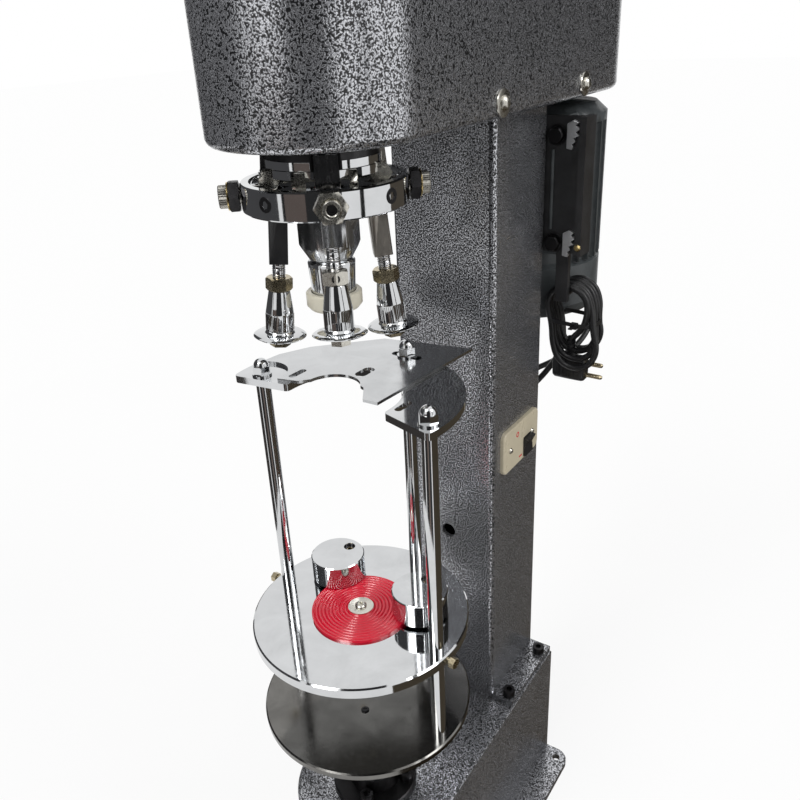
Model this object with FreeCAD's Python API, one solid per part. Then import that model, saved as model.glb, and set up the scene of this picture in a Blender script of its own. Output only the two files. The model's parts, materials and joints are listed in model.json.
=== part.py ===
import FreeCAD, Part

import math
import os

# Bottle capping machine, in millimetres, +Z up.
# The origin lies on the floor under the spindle axis, +Y runs to the column and
# the motor behind it, and +X is the side that carries the switch.

os.makedirs("parts", exist_ok=True)

V = FreeCAD.Vector
UP = V(0, 0, 1)

# Fits and clearances
SLIP = 0.3          # between pieces that pass or lie beside each other
RUNNING_FIT = 0.05  # radial, shaft in its bore
HOLE_CLEARANCE = 0.5  # radial, bolt in its hole

# Base
FOOT_WIDTH = 210.0
FOOT_FRONT = 105.0
FOOT_THICKNESS = 8.0
FOOT_CORNER = 15.0
FOOT_HOLE_RADIUS = 4.5
FOOT_HOLE_INSET = 12.5
BASE_RADIUS = 76.0
BASE_TOP = 162.0
BASE_WALL = 4.0
BASE_TOP_PLATE = 8.0
BASE_EDGE = 1.5

# Column
COLUMN_WIDTH = 100.0
COLUMN_DEPTH = 100.0
COLUMN_FRONT = 150.0
COLUMN_WALL = 4.0
COLUMN_CORNER = 5.0
COLUMN_FOOT_WIDTH = 148.0
COLUMN_FOOT_THICKNESS = 6.0
COLUMN_BOLT_SPREAD = 132.0
COLUMN_BOLT_INSET = 8.0
COLUMN_BOLT_PITCH = 75.0
COLUMN_HOLE_RISE = 202.0     # above the base
COLUMN_HOLE_RADIUS = 7.5

# Head
HEAD_GAP = 25.3             # from the arms' pivots up to the head plate
HEAD_PLATE_THICKNESS = 12.0
HEAD_PLATE_OVERHANG = 32.0
HEAD_PLATE_EDGE = 2.5
HOOD_RADIUS = 74.5
HOOD_DROP = 4.0             # hood's lower edge under the head plate
HOOD_HEADROOM = 48.0        # above the spindle's end
HOOD_WALL = 2.0
HOOD_LIP = 7.0
HOOD_TOP_ROUND = 9.0
HOOD_BOTTOM_ROUND = 6.0
HOOD_SCREW_RISE = 7.0
HOOD_SCREW_FRONT = 36.0     # ahead of the column's face
HOOD_SCREW_PITCH = 153.0
HOOD_WASHER_RADIUS = 10.0
HOOD_WASHER_THICKNESS = 1.5
HOOD_SCREW_HEAD_RADIUS = 6.0
HOOD_SCREW_HEAD = 3.5

# Bearing housing and spindle
HOUSING_BARREL_RADIUS = 33.0
HOUSING_FLANGE_RADIUS = 52.0
HOUSING_FLANGE_THICKNESS = 10.0
HOUSING_DROP = 5.5          # below the head plate
HOUSING_HEIGHT = 62.0
HOUSING_BOLT_RADIUS = 43.0
HOUSING_LIP = 3.0
BEARING_RADIUS = 26.0
BEARING_WIDTH = 15.0
SPINDLE_RADIUS = 12.5
SPINDLE_THREAD_RADIUS = 10.0
SPINDLE_THREAD_LENGTH = 18.0
SPINDLE_NUT_FLATS = 36.0

# Belt drive
PULLEY_GAP = 3.5            # above the bearing housing
SPINDLE_PULLEY_RADIUS = 60.0
MOTOR_PULLEY_RADIUS = 30.0
PULLEY_WIDTH = 20.0
BELT_TOP_WIDTH = 13.0
BELT_DEPTH = 8.0
BELT_HALF_ANGLE = 18.0
SHAFT_END = 4.0

# Capping head, carried by the spindle
HEAD_TURN = 41.5            # angle of the right arm, in degrees
ARM_COUNT = 4
HEAD_FLANGE_RADIUS = 39.0
HEAD_FLANGE_THICKNESS = 10.0
COLLAR_RADIUS = 40.4
COLLAR_RISE = 6.6           # above the arms' pivots
COLLAR_THICKNESS = 5.3
CARRIER_HUB_RADIUS = 19.0
CARRIER_DROP = 26.7         # below the arms' pivots
LUG_THICKNESS = 5.5
LUG_DEPTH = 15.0
RING_RADIUS = 56.4
RING_INNER_RADIUS = 47.0
RING_DROP = 2.7             # below the arms' pivots
RING_HEIGHT = 18.8
RING_STEP = 3.5
RING_STEP_DEPTH = 4.0
SPIDER_WIDTH = 14.0
SPIDER_THICKNESS = 12.0
ADJUSTER_DROP = 9.0         # below the ring's top
ADJUSTER_RADIUS = 6.0
ADJUSTER_END = 71.5
ADJUSTER_GAP = 0.6
ADJUSTER_NUT_FLATS = 19.0
ADJUSTER_NUT_THICKNESS = 7.0

# Pressing arms, each drawn upright at its pivot and then leant out
PIVOT_RADIUS = 36.0
HEAD_RISE = 164.7           # arms' pivots above the neck plate
PIVOT_BOLT_RADIUS = 4.0
PIVOT_POCKET = 9.0
ARM_LEAN = 5.15
ARM_WIDTH = 13.0
ARM_OFFSET = 4.8
ARM_KNEE_WIDTH = 15.5
ARM_KNEE_INNER = 9.0
ARM_KNEE_OUTER = 6.0
ARM_TOP = 16.0
STEM_RADIUS = 4.0
THREADING_ARM_LENGTH = 58.7
SEALING_ARM_LENGTH = 41.5
THREADING_STEM = 10.3
SEALING_STEM = 15.7
STEM_NUT_FLATS = 16.5
STEM_NUT_THICKNESS = 9.0
ROLLER_LENGTH = 34.5
ROLLER_TOP_RADIUS = 7.3
ROLLER_RADIUS = 10.0
ROLLER_TAPER = 16.0
ROLLER_DISC_RADIUS = 19.0
ROLLER_DISC_THICKNESS = 2.4
ROLLER_SCREW_FLATS = 13.0
ROLLER_SCREW_THICKNESS = 6.5

# Chuck
CHUCK_FLATS = 37.0
CHUCK_HEIGHT = 32.4
CHUCK_CONE = 11.6
CHUCK_NOSE_RADIUS = 14.7
CHUCK_BORE_RADIUS = 8.0
SLEEVE_TOP_RADIUS = 16.8
SLEEVE_BOTTOM_RADIUS = 15.4
SLEEVE_WALL = 2.6
SLEEVE_CAP = 4.5
PAD_RADIUS = 20.0
PAD_REACH = 35.1            # below the chuck
PAD_HEIGHT = 12.5
PAD_FLOOR = 3.5
PAD_STROKE = 6.0
PLUNGER_RADIUS = 4.0
PLUNGER_CLIP_RADIUS = 6.5
PLUNGER_CLIP_THICKNESS = 2.0
SPRING_RADIUS = 9.5
SPRING_WIRE = 2.2
SPRING_TURNS = 5

# Lifting carriage
CARRIAGE_TURN = -3.2        # the carriage stands a little turned, in degrees
ROD_ANGLES = (-3.0, 90.0, 183.0)
ROD_RADIUS = 6.0
PLATE_RADIUS = 93.0
ROD_EDGE = 11.0             # from a plate's rim to a rod's axis
ROD_CIRCLE = PLATE_RADIUS - ROD_EDGE
CARRIAGE_RISE = 118.0       # above the base
LOWER_PLATE_THICKNESS = 7.0
PLATE_EDGE = 1.2
HUB_RADIUS = 40.0
HUB_HEIGHT = 22.0
LIFT_SHAFT_RADIUS = 15.0
LIFT_STROKE = 30.0
BUSH_FLANGE_RADIUS = 40.0
BUSH_FLANGE_THICKNESS = 9.0
BUSH_RADIUS = 24.0
BUSH_COLLAR = 14.0
BUSH_BELOW = 90.0
BUSH_BOLT_RADIUS = 31.0
BUSH_BOLT_ANGLE = -69.0
STOP_COLLAR_RADIUS = 26.0
STOP_COLLAR_THICKNESS = 12.0
PLATE_SCREW_RADIUS = 6.2
PLATE_SCREW_HEAD = 2.2

# Neck plate and guide plate on top of the rods
RACK_HEIGHT = 298.0         # neck plate above the lower plate
NECK_PLATE_THICKNESS = 6.0
NECK_LOBE_X = -10.0         # the plate's left half is a little larger
NECK_LOBE_Y = 3.0
NECK_FRONT_LEFT = ((-140.0, -25.0), (-50.0, -9.0))
NECK_FRONT_RIGHT = ((45.0, -8.0), (140.0, -30.0))
NECK_OPENING_Y = 0.0
NECK_MOUTH_ROUND = 4.0
NECK_SLOTS_X = (-54.0, 51.0)
NECK_SLOT_Y = 8.0
NECK_SLOT_LENGTH = 18.0
NECK_SLOT_RADIUS = 3.0
GUIDE_THICKNESS = 2.5
GUIDE_TRAVEL = 10.0
GUIDE_OUTLINE = ((21.0, -2.0), (34.0, -1.0), (38.0, 122.0), (-40.0, 104.0), (-84.0, 56.0),
                 (-96.0, 30.0), (-98.0, 8.0), (-62.0, -8.0), (-44.0, -3.0), (-36.0, 6.0),
                 (-12.0, 22.0), (9.0, 14.0))
GUIDE_BITE_X = -14.5
GUIDE_BITE_Y = 3.5
GUIDE_BITE_RADIUS = 22.5
GUIDE_SLOT_X = -9.0
GUIDE_SLOT_Y = 38.0
GUIDE_SLOT_LENGTH = 19.0
GUIDE_SLOT_RADIUS = 5.0
ROD_STUD_RADIUS = 4.0
ROD_STUD_LENGTH = 12.0
WASHER_RADIUS = 8.0
WASHER_THICKNESS = 1.6
ACORN_FLATS = 13.0
ACORN_HEX = 6.5

# Bottle tray on the rods
TRAY_RISE = 93.0            # above the lower plate
TRAY_THICKNESS = 10.0
PAD_DISC_RADIUS = 42.5
PAD_DISC_THICKNESS = 2.4
PAD_GROOVES = (16.0, 21.0, 26.0, 31.0, 36.0)
PAD_GROOVE_WIDTH = 1.2
PAD_GROOVE_DEPTH = 0.5
PAD_WASHER_RADIUS = 11.0
ECCENTRIC_RADIUS = 24.0
ECCENTRIC_HEIGHT = 22.0
ECCENTRIC_RAISE = 2.9
ECCENTRIC_EDGE = 35.0       # from the tray's rim to the pivot
ECCENTRIC_PIVOT_CIRCLE = PLATE_RADIUS - ECCENTRIC_EDGE
ECCENTRIC_PIVOT_ANGLE = 42.0
ECCENTRIC_OFFSET = 14.0
ECCENTRIC_SCREW_RADIUS = 3.0
ECCENTRIC_COUNTERBORE = 5.2
ECCENTRIC_COUNTERBORE_DEPTH = 8.0
ECCENTRIC_SCREW_HEAD_RADIUS = 4.8
ECCENTRIC_SCREW_HEAD = 5.0
ECCENTRIC_SCREW_KEY = 4.0
ECCENTRIC_SPACER_RADIUS = 7.0
ECCENTRIC_LEAN = 100.0      # direction from pivot to cylinder centre, in degrees
RIM_SCREW_RADIUS = 3.0
RIM_SCREW_HEAD = 5.0
RIM_SCREW_GAP = 3.2
RIM_SCREW_FLATS = 8.0

# Motor
BRACKET_WIDTH = 176.0
BRACKET_HEIGHT = 119.0
BRACKET_GAP = 13.0          # under the hood
BRACKET_WEB = 6.0
BRACKET_LIP = 14.0
BRACKET_RIDGE = 8.0
HOOK_X = 68.0
HOOK_WIDTH = 12.0
HOOK_DROP = 47.0            # below the bracket
HOOK_PEG_RADIUS = 3.5
HOOK_PEG_LENGTH = 40.0
HOOK_PEG_RISE = 5.0
MOTOR_BODY_RADIUS = 62.0
MOTOR_FIN_RADIUS = 68.0
MOTOR_FIN_COUNT = 30
MOTOR_FIN_THICKNESS = 2.6
MOTOR_GAP = 3.0             # under the hood
MOTOR_HEIGHT = 212.0
MOTOR_CLEARANCE = 1.0       # from its feet's plane to its fins
MOTOR_BELL = 24.0
MOTOR_FAN_HEIGHT = 44.0
MOTOR_SHAFT_RADIUS = 9.5
MOTOR_SHAFT_BORE = 40.0     # depth of the shaft's hole in the motor
MOTOR_FIN_GAP = 15.0        # from the fan cover to the fins
TERMINAL_ROOT = 16.0        # how far the terminal box reaches into the body
MOTOR_FOOT_DROP = 73.0      # middle of the feet below the motor's top
MOTOR_BOLT_X = 118.5
MOTOR_BOLT_Z = 94.0
MOTOR_FOOT_THICKNESS = 8.0
MOTOR_FOOT_SIZE = 26.0
TERMINAL_LENGTH = 86.0
TERMINAL_WIDTH = 62.0
TERMINAL_OUT = 30.0
TERMINAL_TURN = 90.0

# Switch
SWITCH_WIDTH = 75.0
SWITCH_HEIGHT = 44.0
SWITCH_THICKNESS = 4.0
SWITCH_SHIFT = 1.5          # behind the column's middle
SWITCH_RISE = 294.0         # above the base
SWITCH_CORNER = 7.0
ROCKER_WIDTH = 18.0
ROCKER_HEIGHT = 19.0
ROCKER_SHIFT = 13.5
ROCKER_DROP = 9.5
ROCKER_TILT = 9.0
ROCKER_OUT = 4.5
ROCKER_DEPTH = 7.0
ROCKER_PIN_RADIUS = 1.2
ROCKER_SEAT = 1.5

# Fasteners
M8_RADIUS = 4.0
M8_SOCKET_HEAD_RADIUS = 6.5
M8_SOCKET_HEAD = 8.0
M8_SOCKET_KEY = 6.0
M8_HEX_FLATS = 13.0
M8_HEX_HEAD = 5.5
M6_RADIUS = 3.0

# Mains lead, wound as a hank under the motor bracket
CORD_RADIUS = 3.1
GLAND_X = 14.0
GLAND_RISE = 300.0          # above the base
GLAND_RADIUS = 9.0
GLAND_LENGTH = 16.0
# Each route's points are measured from its gland's mouth
CORD_STEPS = (
    (0, 0, 0), (0, 19, 0), (5, 37, 5), (15, 48, 19),
    (27, 47, 39), (38, 38, 58), (46, 27, 77), (50, 18, 98),
)
MOTOR_CABLE_STEPS = (
    (0, 0, 0), (0, 20, 0), (6, 38, 5), (22, 56, 13), (42, 74, 22), (58, 94, 34),
    (64, 118, 52), (58, 136, 74), (44, 144, 100), (32, 145, 128), (26, 145, 156),
)
HANK_GAP = 26.0             # under the bracket
HANK_LENGTH = 86.0
HANK_X = 77.0
HANK_SETBACK = 32.0         # behind the column
# Drop from the top, shift along X, and half widths along X and Y of each section
HANK_SECTIONS = (
    (0.0, -9.0, 13.0, 7.0), (10.0, -8.0, 20.0, 9.0), (22.0, -6.0, 20.5, 10.0), (46.0, 0.0, 13.0, 10.0),
    (64.0, 5.0, 22.0, 10.0), (77.0, 6.0, 21.0, 9.0), (86.0, 7.0, 13.0, 7.0),
)
PLUG_LENGTH = 34.0
PLUG_WIDTH = 25.0
PLUG_THICKNESS = 16.0
PLUG_RELIEF = 8.0
PLUG_RELIEF_RADIUS = 4.5
PLUG_PIN_LENGTH = 17.0
PLUG_PIN_RADIUS = 2.4
PLUG_SHIFT = 9.0            # from the hank's middle

# Sizes worked out from those above
BASE_REAR = COLUMN_FRONT + COLUMN_DEPTH - 2.0
FOOT_REAR = COLUMN_FRONT + COLUMN_DEPTH
COLUMN_MIDDLE = COLUMN_FRONT + COLUMN_DEPTH / 2
COLUMN_REAR = COLUMN_FRONT + COLUMN_DEPTH
COLUMN_BOLT_Z = BASE_TOP + COLUMN_FOOT_THICKNESS
COLUMN_HOLE_HEIGHT = BASE_TOP + COLUMN_HOLE_RISE
LOWER_PLATE_TOP = BASE_TOP + CARRIAGE_RISE
TRAY_TOP = LOWER_PLATE_TOP + TRAY_RISE
NECK_PLATE_TOP = LOWER_PLATE_TOP + RACK_HEIGHT
PIVOT_HEIGHT = NECK_PLATE_TOP + HEAD_RISE
COLLAR_TOP = PIVOT_HEIGHT + COLLAR_RISE
CARRIER_BOTTOM = PIVOT_HEIGHT - CARRIER_DROP
RING_TOP = PIVOT_HEIGHT - RING_DROP
ADJUSTER_HEIGHT = RING_TOP - ADJUSTER_DROP
SPINDLE_BOTTOM = CARRIER_BOTTOM - SPINDLE_THREAD_LENGTH
CHUCK_BOTTOM = CARRIER_BOTTOM - CHUCK_HEIGHT
CHUCK_CONE_TOP = CHUCK_BOTTOM + CHUCK_CONE
PAD_BOTTOM = CHUCK_BOTTOM - PAD_REACH
SLEEVE_BOTTOM = PAD_BOTTOM + PAD_FLOOR + PAD_STROKE + SLIP
HEAD_PLATE_BOTTOM = PIVOT_HEIGHT + HEAD_GAP
HEAD_PLATE_TOP = HEAD_PLATE_BOTTOM + HEAD_PLATE_THICKNESS
HOUSING_BOTTOM = HEAD_PLATE_BOTTOM - HOUSING_DROP
BELT_HEIGHT = HOUSING_BOTTOM + HOUSING_HEIGHT + PULLEY_GAP + PULLEY_WIDTH / 2
HOOD_BOTTOM = HEAD_PLATE_BOTTOM - HOOD_DROP
HOOD_SCREW_HEIGHT = HEAD_PLATE_BOTTOM + HOOD_SCREW_RISE
HEAD_FLANGE_TOP = COLLAR_TOP + HEAD_FLANGE_THICKNESS
COLLAR_BOTTOM = COLLAR_TOP - COLLAR_THICKNESS
LUG_INNER = ARM_KNEE_WIDTH / 2 + SLIP
LUG_OUTER = LUG_INNER + LUG_THICKNESS
SLOT_DEPTH = PIVOT_RADIUS - ARM_KNEE_INNER - 2.5
RING_BOTTOM = RING_TOP - RING_HEIGHT
SPINDLE_TOP = BELT_HEIGHT + PULLEY_WIDTH / 2 + SHAFT_END
HOOD_TOP = SPINDLE_TOP + HOOD_HEADROOM
SLEEVE_TOP = CHUCK_BOTTOM
LOWER_PLATE_BOTTOM = LOWER_PLATE_TOP - LOWER_PLATE_THICKNESS
NECK_PLATE_BOTTOM = NECK_PLATE_TOP - NECK_PLATE_THICKNESS
GUIDE_TOP = NECK_PLATE_TOP + GUIDE_THICKNESS
TRAY_BOTTOM = TRAY_TOP - TRAY_THICKNESS
ECCENTRIC_BOTTOM = TRAY_TOP + ECCENTRIC_RAISE
BRACKET_FACE = COLUMN_REAR + BRACKET_WEB
BRACKET_TOP = HOOD_BOTTOM - BRACKET_GAP
BRACKET_BOTTOM = BRACKET_TOP - BRACKET_HEIGHT
MOTOR_Y = BRACKET_FACE + MOTOR_FOOT_THICKNESS + MOTOR_FIN_RADIUS + MOTOR_CLEARANCE
MOTOR_TOP = HOOD_BOTTOM - MOTOR_GAP
MOTOR_BOTTOM = MOTOR_TOP - MOTOR_HEIGHT
MOTOR_FOOT_HEIGHT = MOTOR_TOP - MOTOR_FOOT_DROP
TERMINAL_BOTTOM = MOTOR_FOOT_HEIGHT - TERMINAL_LENGTH / 2
SWITCH_Y = COLUMN_MIDDLE + SWITCH_SHIFT
SWITCH_Z = BASE_TOP + SWITCH_RISE
ROCKER_Y = SWITCH_Y + ROCKER_SHIFT
ROCKER_Z = SWITCH_Z - ROCKER_DROP
GLAND_Z = BASE_TOP + GLAND_RISE
HANK_TOP = BRACKET_BOTTOM - HANK_GAP
HANK_BOTTOM = HANK_TOP - HANK_LENGTH
HANK_Y = COLUMN_REAR + HANK_SETBACK
HOOK_PEG_HEIGHT = BRACKET_BOTTOM - HOOK_DROP + HOOK_PEG_RISE
ARM_LENGTHS = (THREADING_ARM_LENGTH, SEALING_ARM_LENGTH)
STEM_LENGTHS = (THREADING_STEM, SEALING_STEM)


# Shape helpers

def box(x0, x1, y0, y1, z0, z1):
    return Part.makeBox(x1 - x0, y1 - y0, z1 - z0, V(x0, y0, z0))


def cylinder(radius, x, y, z0, z1):
    return Part.makeCylinder(radius, z1 - z0, V(x, y, z0))


def rod(radius, start, direction, length):
    return Part.makeCylinder(radius, length, start, direction)


def ring(outer, inner, x, y, z0, z1):
    return cylinder(outer, x, y, z0, z1).cut(cylinder(inner, x, y, z0 - 1, z1 + 1))


def hexagon(flats, z0, z1, turn=0.0):
    corners = []
    for index in range(7):
        angle = math.radians(turn + 60 * index)
        radius = flats / math.sqrt(3)
        corners.append(V(radius * math.cos(angle), radius * math.sin(angle), z0))
    return Part.Face(Part.makePolygon(corners)).extrude(V(0, 0, z1 - z0))


def revolved(profile):
    """Solid of revolution about Z from (radius, height) corners."""
    corners = [V(radius, 0, height) for radius, height in profile]
    corners.append(corners[0])
    return Part.Face(Part.makePolygon(corners)).revolve(V(0, 0, 0), UP, 360)


def polygon_plate(points, z0, z1):
    corners = [V(x, y, z0) for x, y in points]
    corners.append(corners[0])
    return Part.Face(Part.makePolygon(corners)).extrude(V(0, 0, z1 - z0))


def slot(x, y, length, radius, z0, z1, along_x=True):
    """Round-ended slot whose length runs end to end."""
    half = length / 2 - radius
    step = V(half, 0, 0) if along_x else V(0, half, 0)
    ends = [cylinder(radius, x + s * step.x, y + s * step.y, z0, z1) for s in (-1, 1)]
    if along_x:
        middle = box(x - half, x + half, y - radius, y + radius, z0, z1)
    else:
        middle = box(x - radius, x + radius, y - half, y + half, z0, z1)
    return middle.fuse(ends).removeSplitter()


def nose_plate(radius, rear, z0, z1):
    """Plate with a round nose about the spindle axis and a straight rear edge."""
    left, right = V(-radius, 0, z0), V(radius, 0, z0)
    edges = [
        Part.Arc(left, V(0, -radius, z0), right).toShape(),
        Part.makeLine(right, V(radius, rear, z0)),
        Part.makeLine(V(radius, rear, z0), V(-radius, rear, z0)),
        Part.makeLine(V(-radius, rear, z0), left),
    ]
    return Part.Face(Part.Wire(edges)).extrude(V(0, 0, z1 - z0))


def round_ended_plate(radius, length, z0, z1):
    """Plate with a round nose about the spindle axis and a round tail behind it."""
    edges = [
        Part.Arc(V(-radius, 0, z0), V(0, -radius, z0), V(radius, 0, z0)).toShape(),
        Part.makeLine(V(radius, 0, z0), V(radius, length, z0)),
        Part.Arc(V(radius, length, z0), V(0, length + radius, z0), V(-radius, length, z0)).toShape(),
        Part.makeLine(V(-radius, length, z0), V(-radius, 0, z0)),
    ]
    return Part.Face(Part.Wire(edges)).extrude(V(0, 0, z1 - z0))


def edges_at(shape, height):
    """Edges that lie wholly at one height."""
    found = []
    for edge in shape.Edges:
        if all(abs(vertex.Z - height) < 1e-6 for vertex in edge.Vertexes):
            bounds = edge.BoundBox
            if bounds.ZMax - bounds.ZMin < 1e-6:
                found.append(edge)
    return found


def upright_edges(shape):
    """Straight edges that run along Z."""
    found = []
    for edge in shape.Edges:
        if len(edge.Vertexes) == 2:
            run = edge.Vertexes[1].Point - edge.Vertexes[0].Point
            if math.hypot(run.x, run.y) < 1e-6 and abs(run.z) > 1e-6:
                found.append(edge)
    return found


def turned(shape, degrees, centre=V(0, 0, 0), axis=UP):
    copy = shape.copy()
    copy.rotate(centre, axis, degrees)
    return copy


def moved(shape, x, y, z):
    copy = shape.copy()
    copy.translate(V(x, y, z))
    return copy


def aimed(shape, direction, x, y, z):
    """Shape drawn along +Z, turned to a direction and put in its place."""
    copy = shape.copy()
    copy.Placement = FreeCAD.Placement(V(x, y, z), FreeCAD.Rotation(UP, direction))
    return copy


def polar(radius, degrees):
    angle = math.radians(degrees)
    return radius * math.cos(angle), radius * math.sin(angle)


def socket_screw(radius, head_radius, head, key, length):
    """Socket head screw: its head stands on z = 0 and its shank runs down."""
    body = cylinder(head_radius, 0, 0, 0, head).fuse(cylinder(radius, 0, 0, -length, 0))
    return body.cut(hexagon(key, head * 0.45, head + 1))


def hex_bolt(radius, flats, head, length, washer=0.0):
    """Hexagon bolt on its washer: its seat is z = 0 and its shank runs down."""
    head_solid = hexagon(flats, washer, washer + head)
    chamfer = revolved(((0, washer), (flats / math.sqrt(3), washer),
                        (flats / math.sqrt(3), washer + head * 0.8),
                        (flats * 0.46, washer + head), (0, washer + head)))
    body = head_solid.common(chamfer).fuse(cylinder(radius, 0, 0, -length, washer))
    if washer:
        body = body.fuse(cylinder(flats * 0.62, 0, 0, 0, washer))
    return body.removeSplitter()


def save(name, *solids):
    """Write one node, as a single solid or as a group of separate solids."""
    shape = solids[0] if len(solids) == 1 else Part.makeCompound(list(solids))
    shape.exportStep(os.path.join("parts", name + ".step"))


# Base

def make_foot_plate():
    half = FOOT_WIDTH / 2
    plate = box(-half, half, -FOOT_FRONT, FOOT_REAR, 0, FOOT_THICKNESS)
    plate = plate.makeFillet(FOOT_CORNER, upright_edges(plate))
    for x in (-half + FOOT_HOLE_INSET, half - FOOT_HOLE_INSET):
        for y in (-FOOT_FRONT + FOOT_HOLE_INSET, FOOT_REAR - FOOT_HOLE_INSET):
            plate = plate.cut(cylinder(FOOT_HOLE_RADIUS, x, y, -1, FOOT_THICKNESS + 1))
    return plate


def column_bolt_places():
    for x in (-COLUMN_BOLT_SPREAD / 2, COLUMN_BOLT_SPREAD / 2):
        for y in (COLUMN_FRONT + COLUMN_BOLT_INSET,
                  COLUMN_FRONT + COLUMN_BOLT_INSET + COLUMN_BOLT_PITCH):
            yield x, y


def bush_bolt_places():
    for index in range(4):
        yield polar(BUSH_BOLT_RADIUS, BUSH_BOLT_ANGLE + 90 * index)


def make_base_box():
    outer = nose_plate(BASE_RADIUS, BASE_REAR, FOOT_THICKNESS, BASE_TOP)
    outer = outer.makeFillet(BASE_EDGE, edges_at(outer, BASE_TOP))
    inner = nose_plate(BASE_RADIUS - BASE_WALL, BASE_REAR - BASE_WALL,
                       FOOT_THICKNESS - 1, BASE_TOP - BASE_TOP_PLATE)
    shell = outer.cut(inner)
    shell = shell.cut(cylinder(BUSH_RADIUS + SLIP, 0, 0, BASE_TOP - 20, BASE_TOP + 1))
    for x, y in list(column_bolt_places()) + list(bush_bolt_places()):
        shell = shell.cut(cylinder(M8_RADIUS, x, y, BASE_TOP - BASE_TOP_PLATE - 1, BASE_TOP + 1))
    return shell


def make_column():
    half = COLUMN_WIDTH / 2
    tube = box(-half, half, COLUMN_FRONT, COLUMN_REAR, BASE_TOP, HEAD_PLATE_BOTTOM)
    tube = tube.makeFillet(COLUMN_CORNER, upright_edges(tube))
    foot_half = COLUMN_FOOT_WIDTH / 2
    foot = box(-foot_half, foot_half, COLUMN_FRONT, BASE_REAR, BASE_TOP, COLUMN_BOLT_Z)
    hollow = box(-half + COLUMN_WALL, half - COLUMN_WALL, COLUMN_FRONT + COLUMN_WALL,
                 COLUMN_REAR - COLUMN_WALL, BASE_TOP - 1, HEAD_PLATE_BOTTOM + 1)
    column = tube.fuse(foot).cut(hollow)
    for x, y in column_bolt_places():
        column = column.cut(cylinder(M8_RADIUS + HOLE_CLEARANCE, x, y, BASE_TOP - 1, COLUMN_BOLT_Z + 1))
    column = column.cut(rod(COLUMN_HOLE_RADIUS, V(0, COLUMN_FRONT - 1, COLUMN_HOLE_HEIGHT),
                            V(0, 1, 0), COLUMN_WALL + 2))
    window = box(half - COLUMN_WALL - 1, half + 1,
                 ROCKER_Y - ROCKER_WIDTH / 2 - 3, ROCKER_Y + ROCKER_WIDTH / 2 + 3,
                 ROCKER_Z - ROCKER_HEIGHT / 2 - 3, ROCKER_Z + ROCKER_HEIGHT / 2 + 3)
    column = column.cut(window)
    for x in (-GLAND_X, GLAND_X):
        column = column.cut(rod(CORD_RADIUS + SLIP, V(x, COLUMN_REAR - COLUMN_WALL - 1, GLAND_Z),
                                V(0, 1, 0), COLUMN_WALL + 2))
    return column


def make_socket_screws():
    screw = socket_screw(M8_RADIUS, M8_SOCKET_HEAD_RADIUS, M8_SOCKET_HEAD, M8_SOCKET_KEY,
                         COLUMN_FOOT_THICKNESS + BASE_TOP_PLATE)
    screws = [moved(screw, x, y, COLUMN_BOLT_Z) for x, y in column_bolt_places()]
    flange_screw = socket_screw(M8_RADIUS, M8_SOCKET_HEAD_RADIUS, M8_SOCKET_HEAD, M8_SOCKET_KEY,
                                BUSH_FLANGE_THICKNESS + BASE_TOP_PLATE)
    screws += [moved(flange_screw, x, y, BASE_TOP + BUSH_FLANGE_THICKNESS)
               for x, y in bush_bolt_places()]
    return screws


def make_lift_bush():
    top = BASE_TOP + BUSH_FLANGE_THICKNESS
    bush = revolved((
        (LIFT_SHAFT_RADIUS + RUNNING_FIT, BASE_TOP - BUSH_BELOW),
        (BUSH_RADIUS, BASE_TOP - BUSH_BELOW), (BUSH_RADIUS, BASE_TOP),
        (BUSH_FLANGE_RADIUS, BASE_TOP), (BUSH_FLANGE_RADIUS, top - 1), (BUSH_FLANGE_RADIUS - 1, top),
        (BUSH_RADIUS, top), (BUSH_RADIUS - 2, top + BUSH_COLLAR),
        (LIFT_SHAFT_RADIUS + RUNNING_FIT, top + BUSH_COLLAR),
    ))
    for x, y in bush_bolt_places():
        bush = bush.cut(cylinder(M8_RADIUS + HOLE_CLEARANCE, x, y, BASE_TOP - 1, top + 1))
        bush = bush.cut(cylinder(M8_SOCKET_HEAD_RADIUS + SLIP, x, y, top, top + BUSH_COLLAR + 1))
    return bush


# Head

def make_head_plate():
    radius = HOOD_RADIUS - HOOD_WALL - SLIP
    rear = COLUMN_REAR + HEAD_PLATE_OVERHANG
    plate = nose_plate(radius, rear, HEAD_PLATE_BOTTOM, HEAD_PLATE_TOP)
    plate = plate.makeChamfer(HEAD_PLATE_EDGE, edges_at(plate, HEAD_PLATE_BOTTOM))
    plate = plate.cut(cylinder(HOUSING_BARREL_RADIUS + 0.1, 0, 0, HEAD_PLATE_BOTTOM - 1,
                               HEAD_PLATE_TOP + 1))
    for x, y in housing_bolt_places():
        plate = plate.cut(cylinder(M8_RADIUS, x, y, HEAD_PLATE_BOTTOM - 1, HEAD_PLATE_TOP + 1))
    for start, direction in hood_screw_places():
        plate = plate.cut(rod(M6_RADIUS, start + direction * 1.0, direction, 20))
    return plate


def hood_screw_places():
    """Seat of each hood screw on the hood's side wall, and the way it is driven."""
    for side in (-1, 1):
        for y in (COLUMN_FRONT - HOOD_SCREW_FRONT, COLUMN_FRONT - HOOD_SCREW_FRONT + HOOD_SCREW_PITCH):
            yield V(side * HOOD_RADIUS, y, HOOD_SCREW_HEIGHT), V(-side, 0, 0)


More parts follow.
